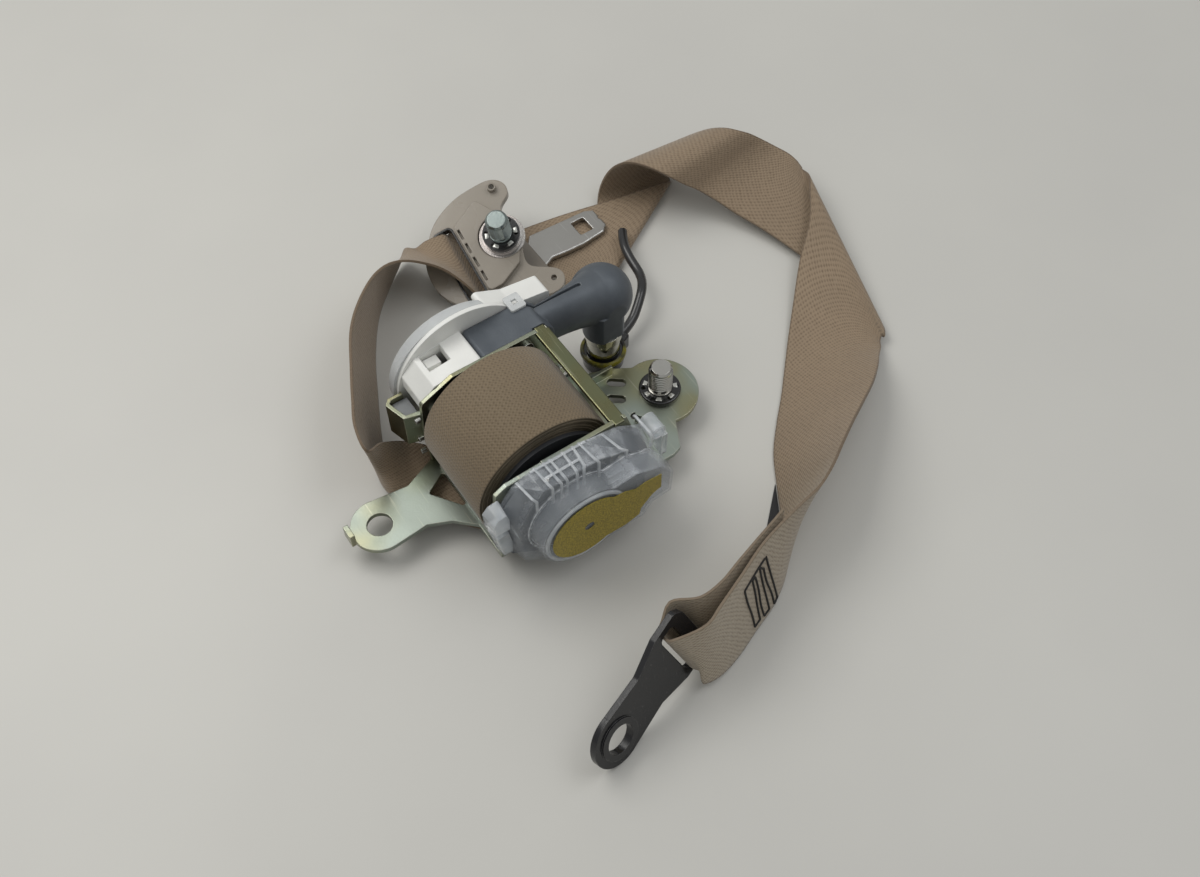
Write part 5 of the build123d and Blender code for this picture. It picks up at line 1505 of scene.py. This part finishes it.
@dataclass(frozen=True)
class Lamp:
    """One soft area lamp, in metres and watts."""

    name: str
    place: Point
    aim: Point
    size: Spot
    watts: float
    color: Color

    def build(self) -> None:
        """Hangs the lamp and turns it to what it lights."""
        data = bpy.data.lights.new(self.name, "AREA")
        data.shape = "RECTANGLE"
        data.size, data.size_y = self.size
        data.energy = self.watts
        data.color = self.color
        lamp = bpy.data.objects.new(self.name, data)
        lamp.location = self.place
        lamp.rotation_euler = (Vector(self.aim) - Vector(self.place)).to_track_quat("-Z", "Y").to_euler()
        bpy.context.scene.collection.objects.link(lamp)


@dataclass
class Studio:
    """Pale table, soft daylight from the upper left and the camera."""

    eye: Point = (302.0, -242.7, 543.3)
    target: Point = (0.0, -35.2, 0.0)
    lens: float = 40.5
    sensor: float = 36.0
    table_size: float = 6.0
    table_tones: tuple[Color, Color] = ((0.60, 0.59, 0.555), (0.57, 0.56, 0.53))
    table_roughness: float = 0.42
    tone_scale: float = 5.0
    tone_detail: float = 4.0
    room_tones: tuple[Color, Color] = ((0.30, 0.30, 0.295), (0.80, 0.81, 0.80))
    room_rise: Spot = (-0.1, 0.75)
    room_strength: float = 0.62
    lamps: tuple[Lamp, ...] = (
        Lamp("window", (-0.60, -0.42, 1.02), (0, -0.02, 0), (1.0, 0.7), 6.5, (1.0, 0.985, 0.95)),
        Lamp("ceiling", (0.25, 0.55, 1.15), (0, 0, 0), (0.9, 0.5), 2.6, (0.97, 0.98, 1.0)))

    def camera(self) -> None:
        """Places the camera at the photograph's angle."""
        data = bpy.data.cameras.new("camera")
        data.lens = self.lens
        data.sensor_width = self.sensor
        data.clip_start = 0.01
        camera = bpy.data.objects.new("camera", data)
        camera.location = Vector(self.eye) * MM
        aim = Vector(self.target) - Vector(self.eye)
        camera.rotation_euler = aim.to_track_quat("-Z", "Y").to_euler()
        bpy.context.scene.collection.objects.link(camera)
        bpy.context.scene.camera = camera

    def world(self) -> None:
        """Soft room light that is brighter overhead, for clean reflections."""
        world = bpy.data.worlds.new("room")
        world.use_nodes = True
        bpy.context.scene.world = world
        graph = Graph(world.node_tree)
        way = graph.add("ShaderNodeTexCoord").outputs["Generated"]
        parts = graph.add("ShaderNodeSeparateXYZ", {0: way})
        rise = graph.span(parts.outputs[2], *self.room_rise, 0.0, 1.0)
        background = world.node_tree.nodes["Background"]
        graph.feed(background, "Color", graph.mix(rise, *self.room_tones))
        graph.feed(background, "Strength", self.room_strength)

    def table(self) -> None:
        """Pale grey table top with a soft change of tone."""
        bpy.ops.mesh.primitive_plane_add(size=self.table_size, location=(0, 0, 0))
        table = bpy.context.view_layer.objects.active
        table.name = "table_top"
        material, graph, shader = new_material("table_top")
        vector = graph.add("ShaderNodeTexCoord").outputs["Object"]
        tone = graph.noise(vector, self.tone_scale, self.tone_detail)
        change = graph.span(tone, 0.35, 0.65, 0.0, 1.0)
        graph.feed(shader, "Base Color", graph.mix(change, *self.table_tones))
        graph.feed(shader, "Roughness", self.table_roughness)
        table.data.materials.append(material)

    def build(self) -> None:
        """Sets up the room."""
        self.camera()
        self.world()
        self.table()
        for lamp in self.lamps:
            lamp.build()
        bpy.context.scene.view_settings.view_transform = "Standard"


def main() -> None:
    """Builds every piece in order and reports it."""
    logging.basicConfig(level=logging.INFO, format="%(message)s")
    finishes = Finishes()
    Studio().build()
    pieces = [Lead(finishes).build()]
    CarriedNodes(finishes).dress()
    belt = Belt(finishes)
    pieces += [belt.build(), Roll(finishes).build(), Stitching(belt, finishes).build(),
               WovenLabel(finishes).build(), *ClearCover(finishes).build(), Collar(finishes).build()]
    gaps = (RetainerTeeth("anchor_gaps", "root", Matrix.Identity(4), height=15.2, inner=6.4, outer=8.6),
            RetainerTeeth("ring_gaps", "root", RING_FRAME, height=6.2, inner=6.6, outer=8.6, count=6,
                          half=11.0))
    pieces += [teeth.build(finishes) for teeth in gaps]
    studs = ((Stud("anchor_thread", "anchor_bolt", Matrix.Identity(4), low=17.0, high=30.5), Finishes.BOLT),
             (Stud("ring_thread", "ring_bolt", RING_FRAME, low=9.0, high=23.5), Finishes.BLUE_ZINC))
    pieces += [stud.build(finishes, finish) for stud, finish in studs]
    for piece in pieces:
        log.info("%s made", piece.name)


if __name__ == "__main__":
    main()
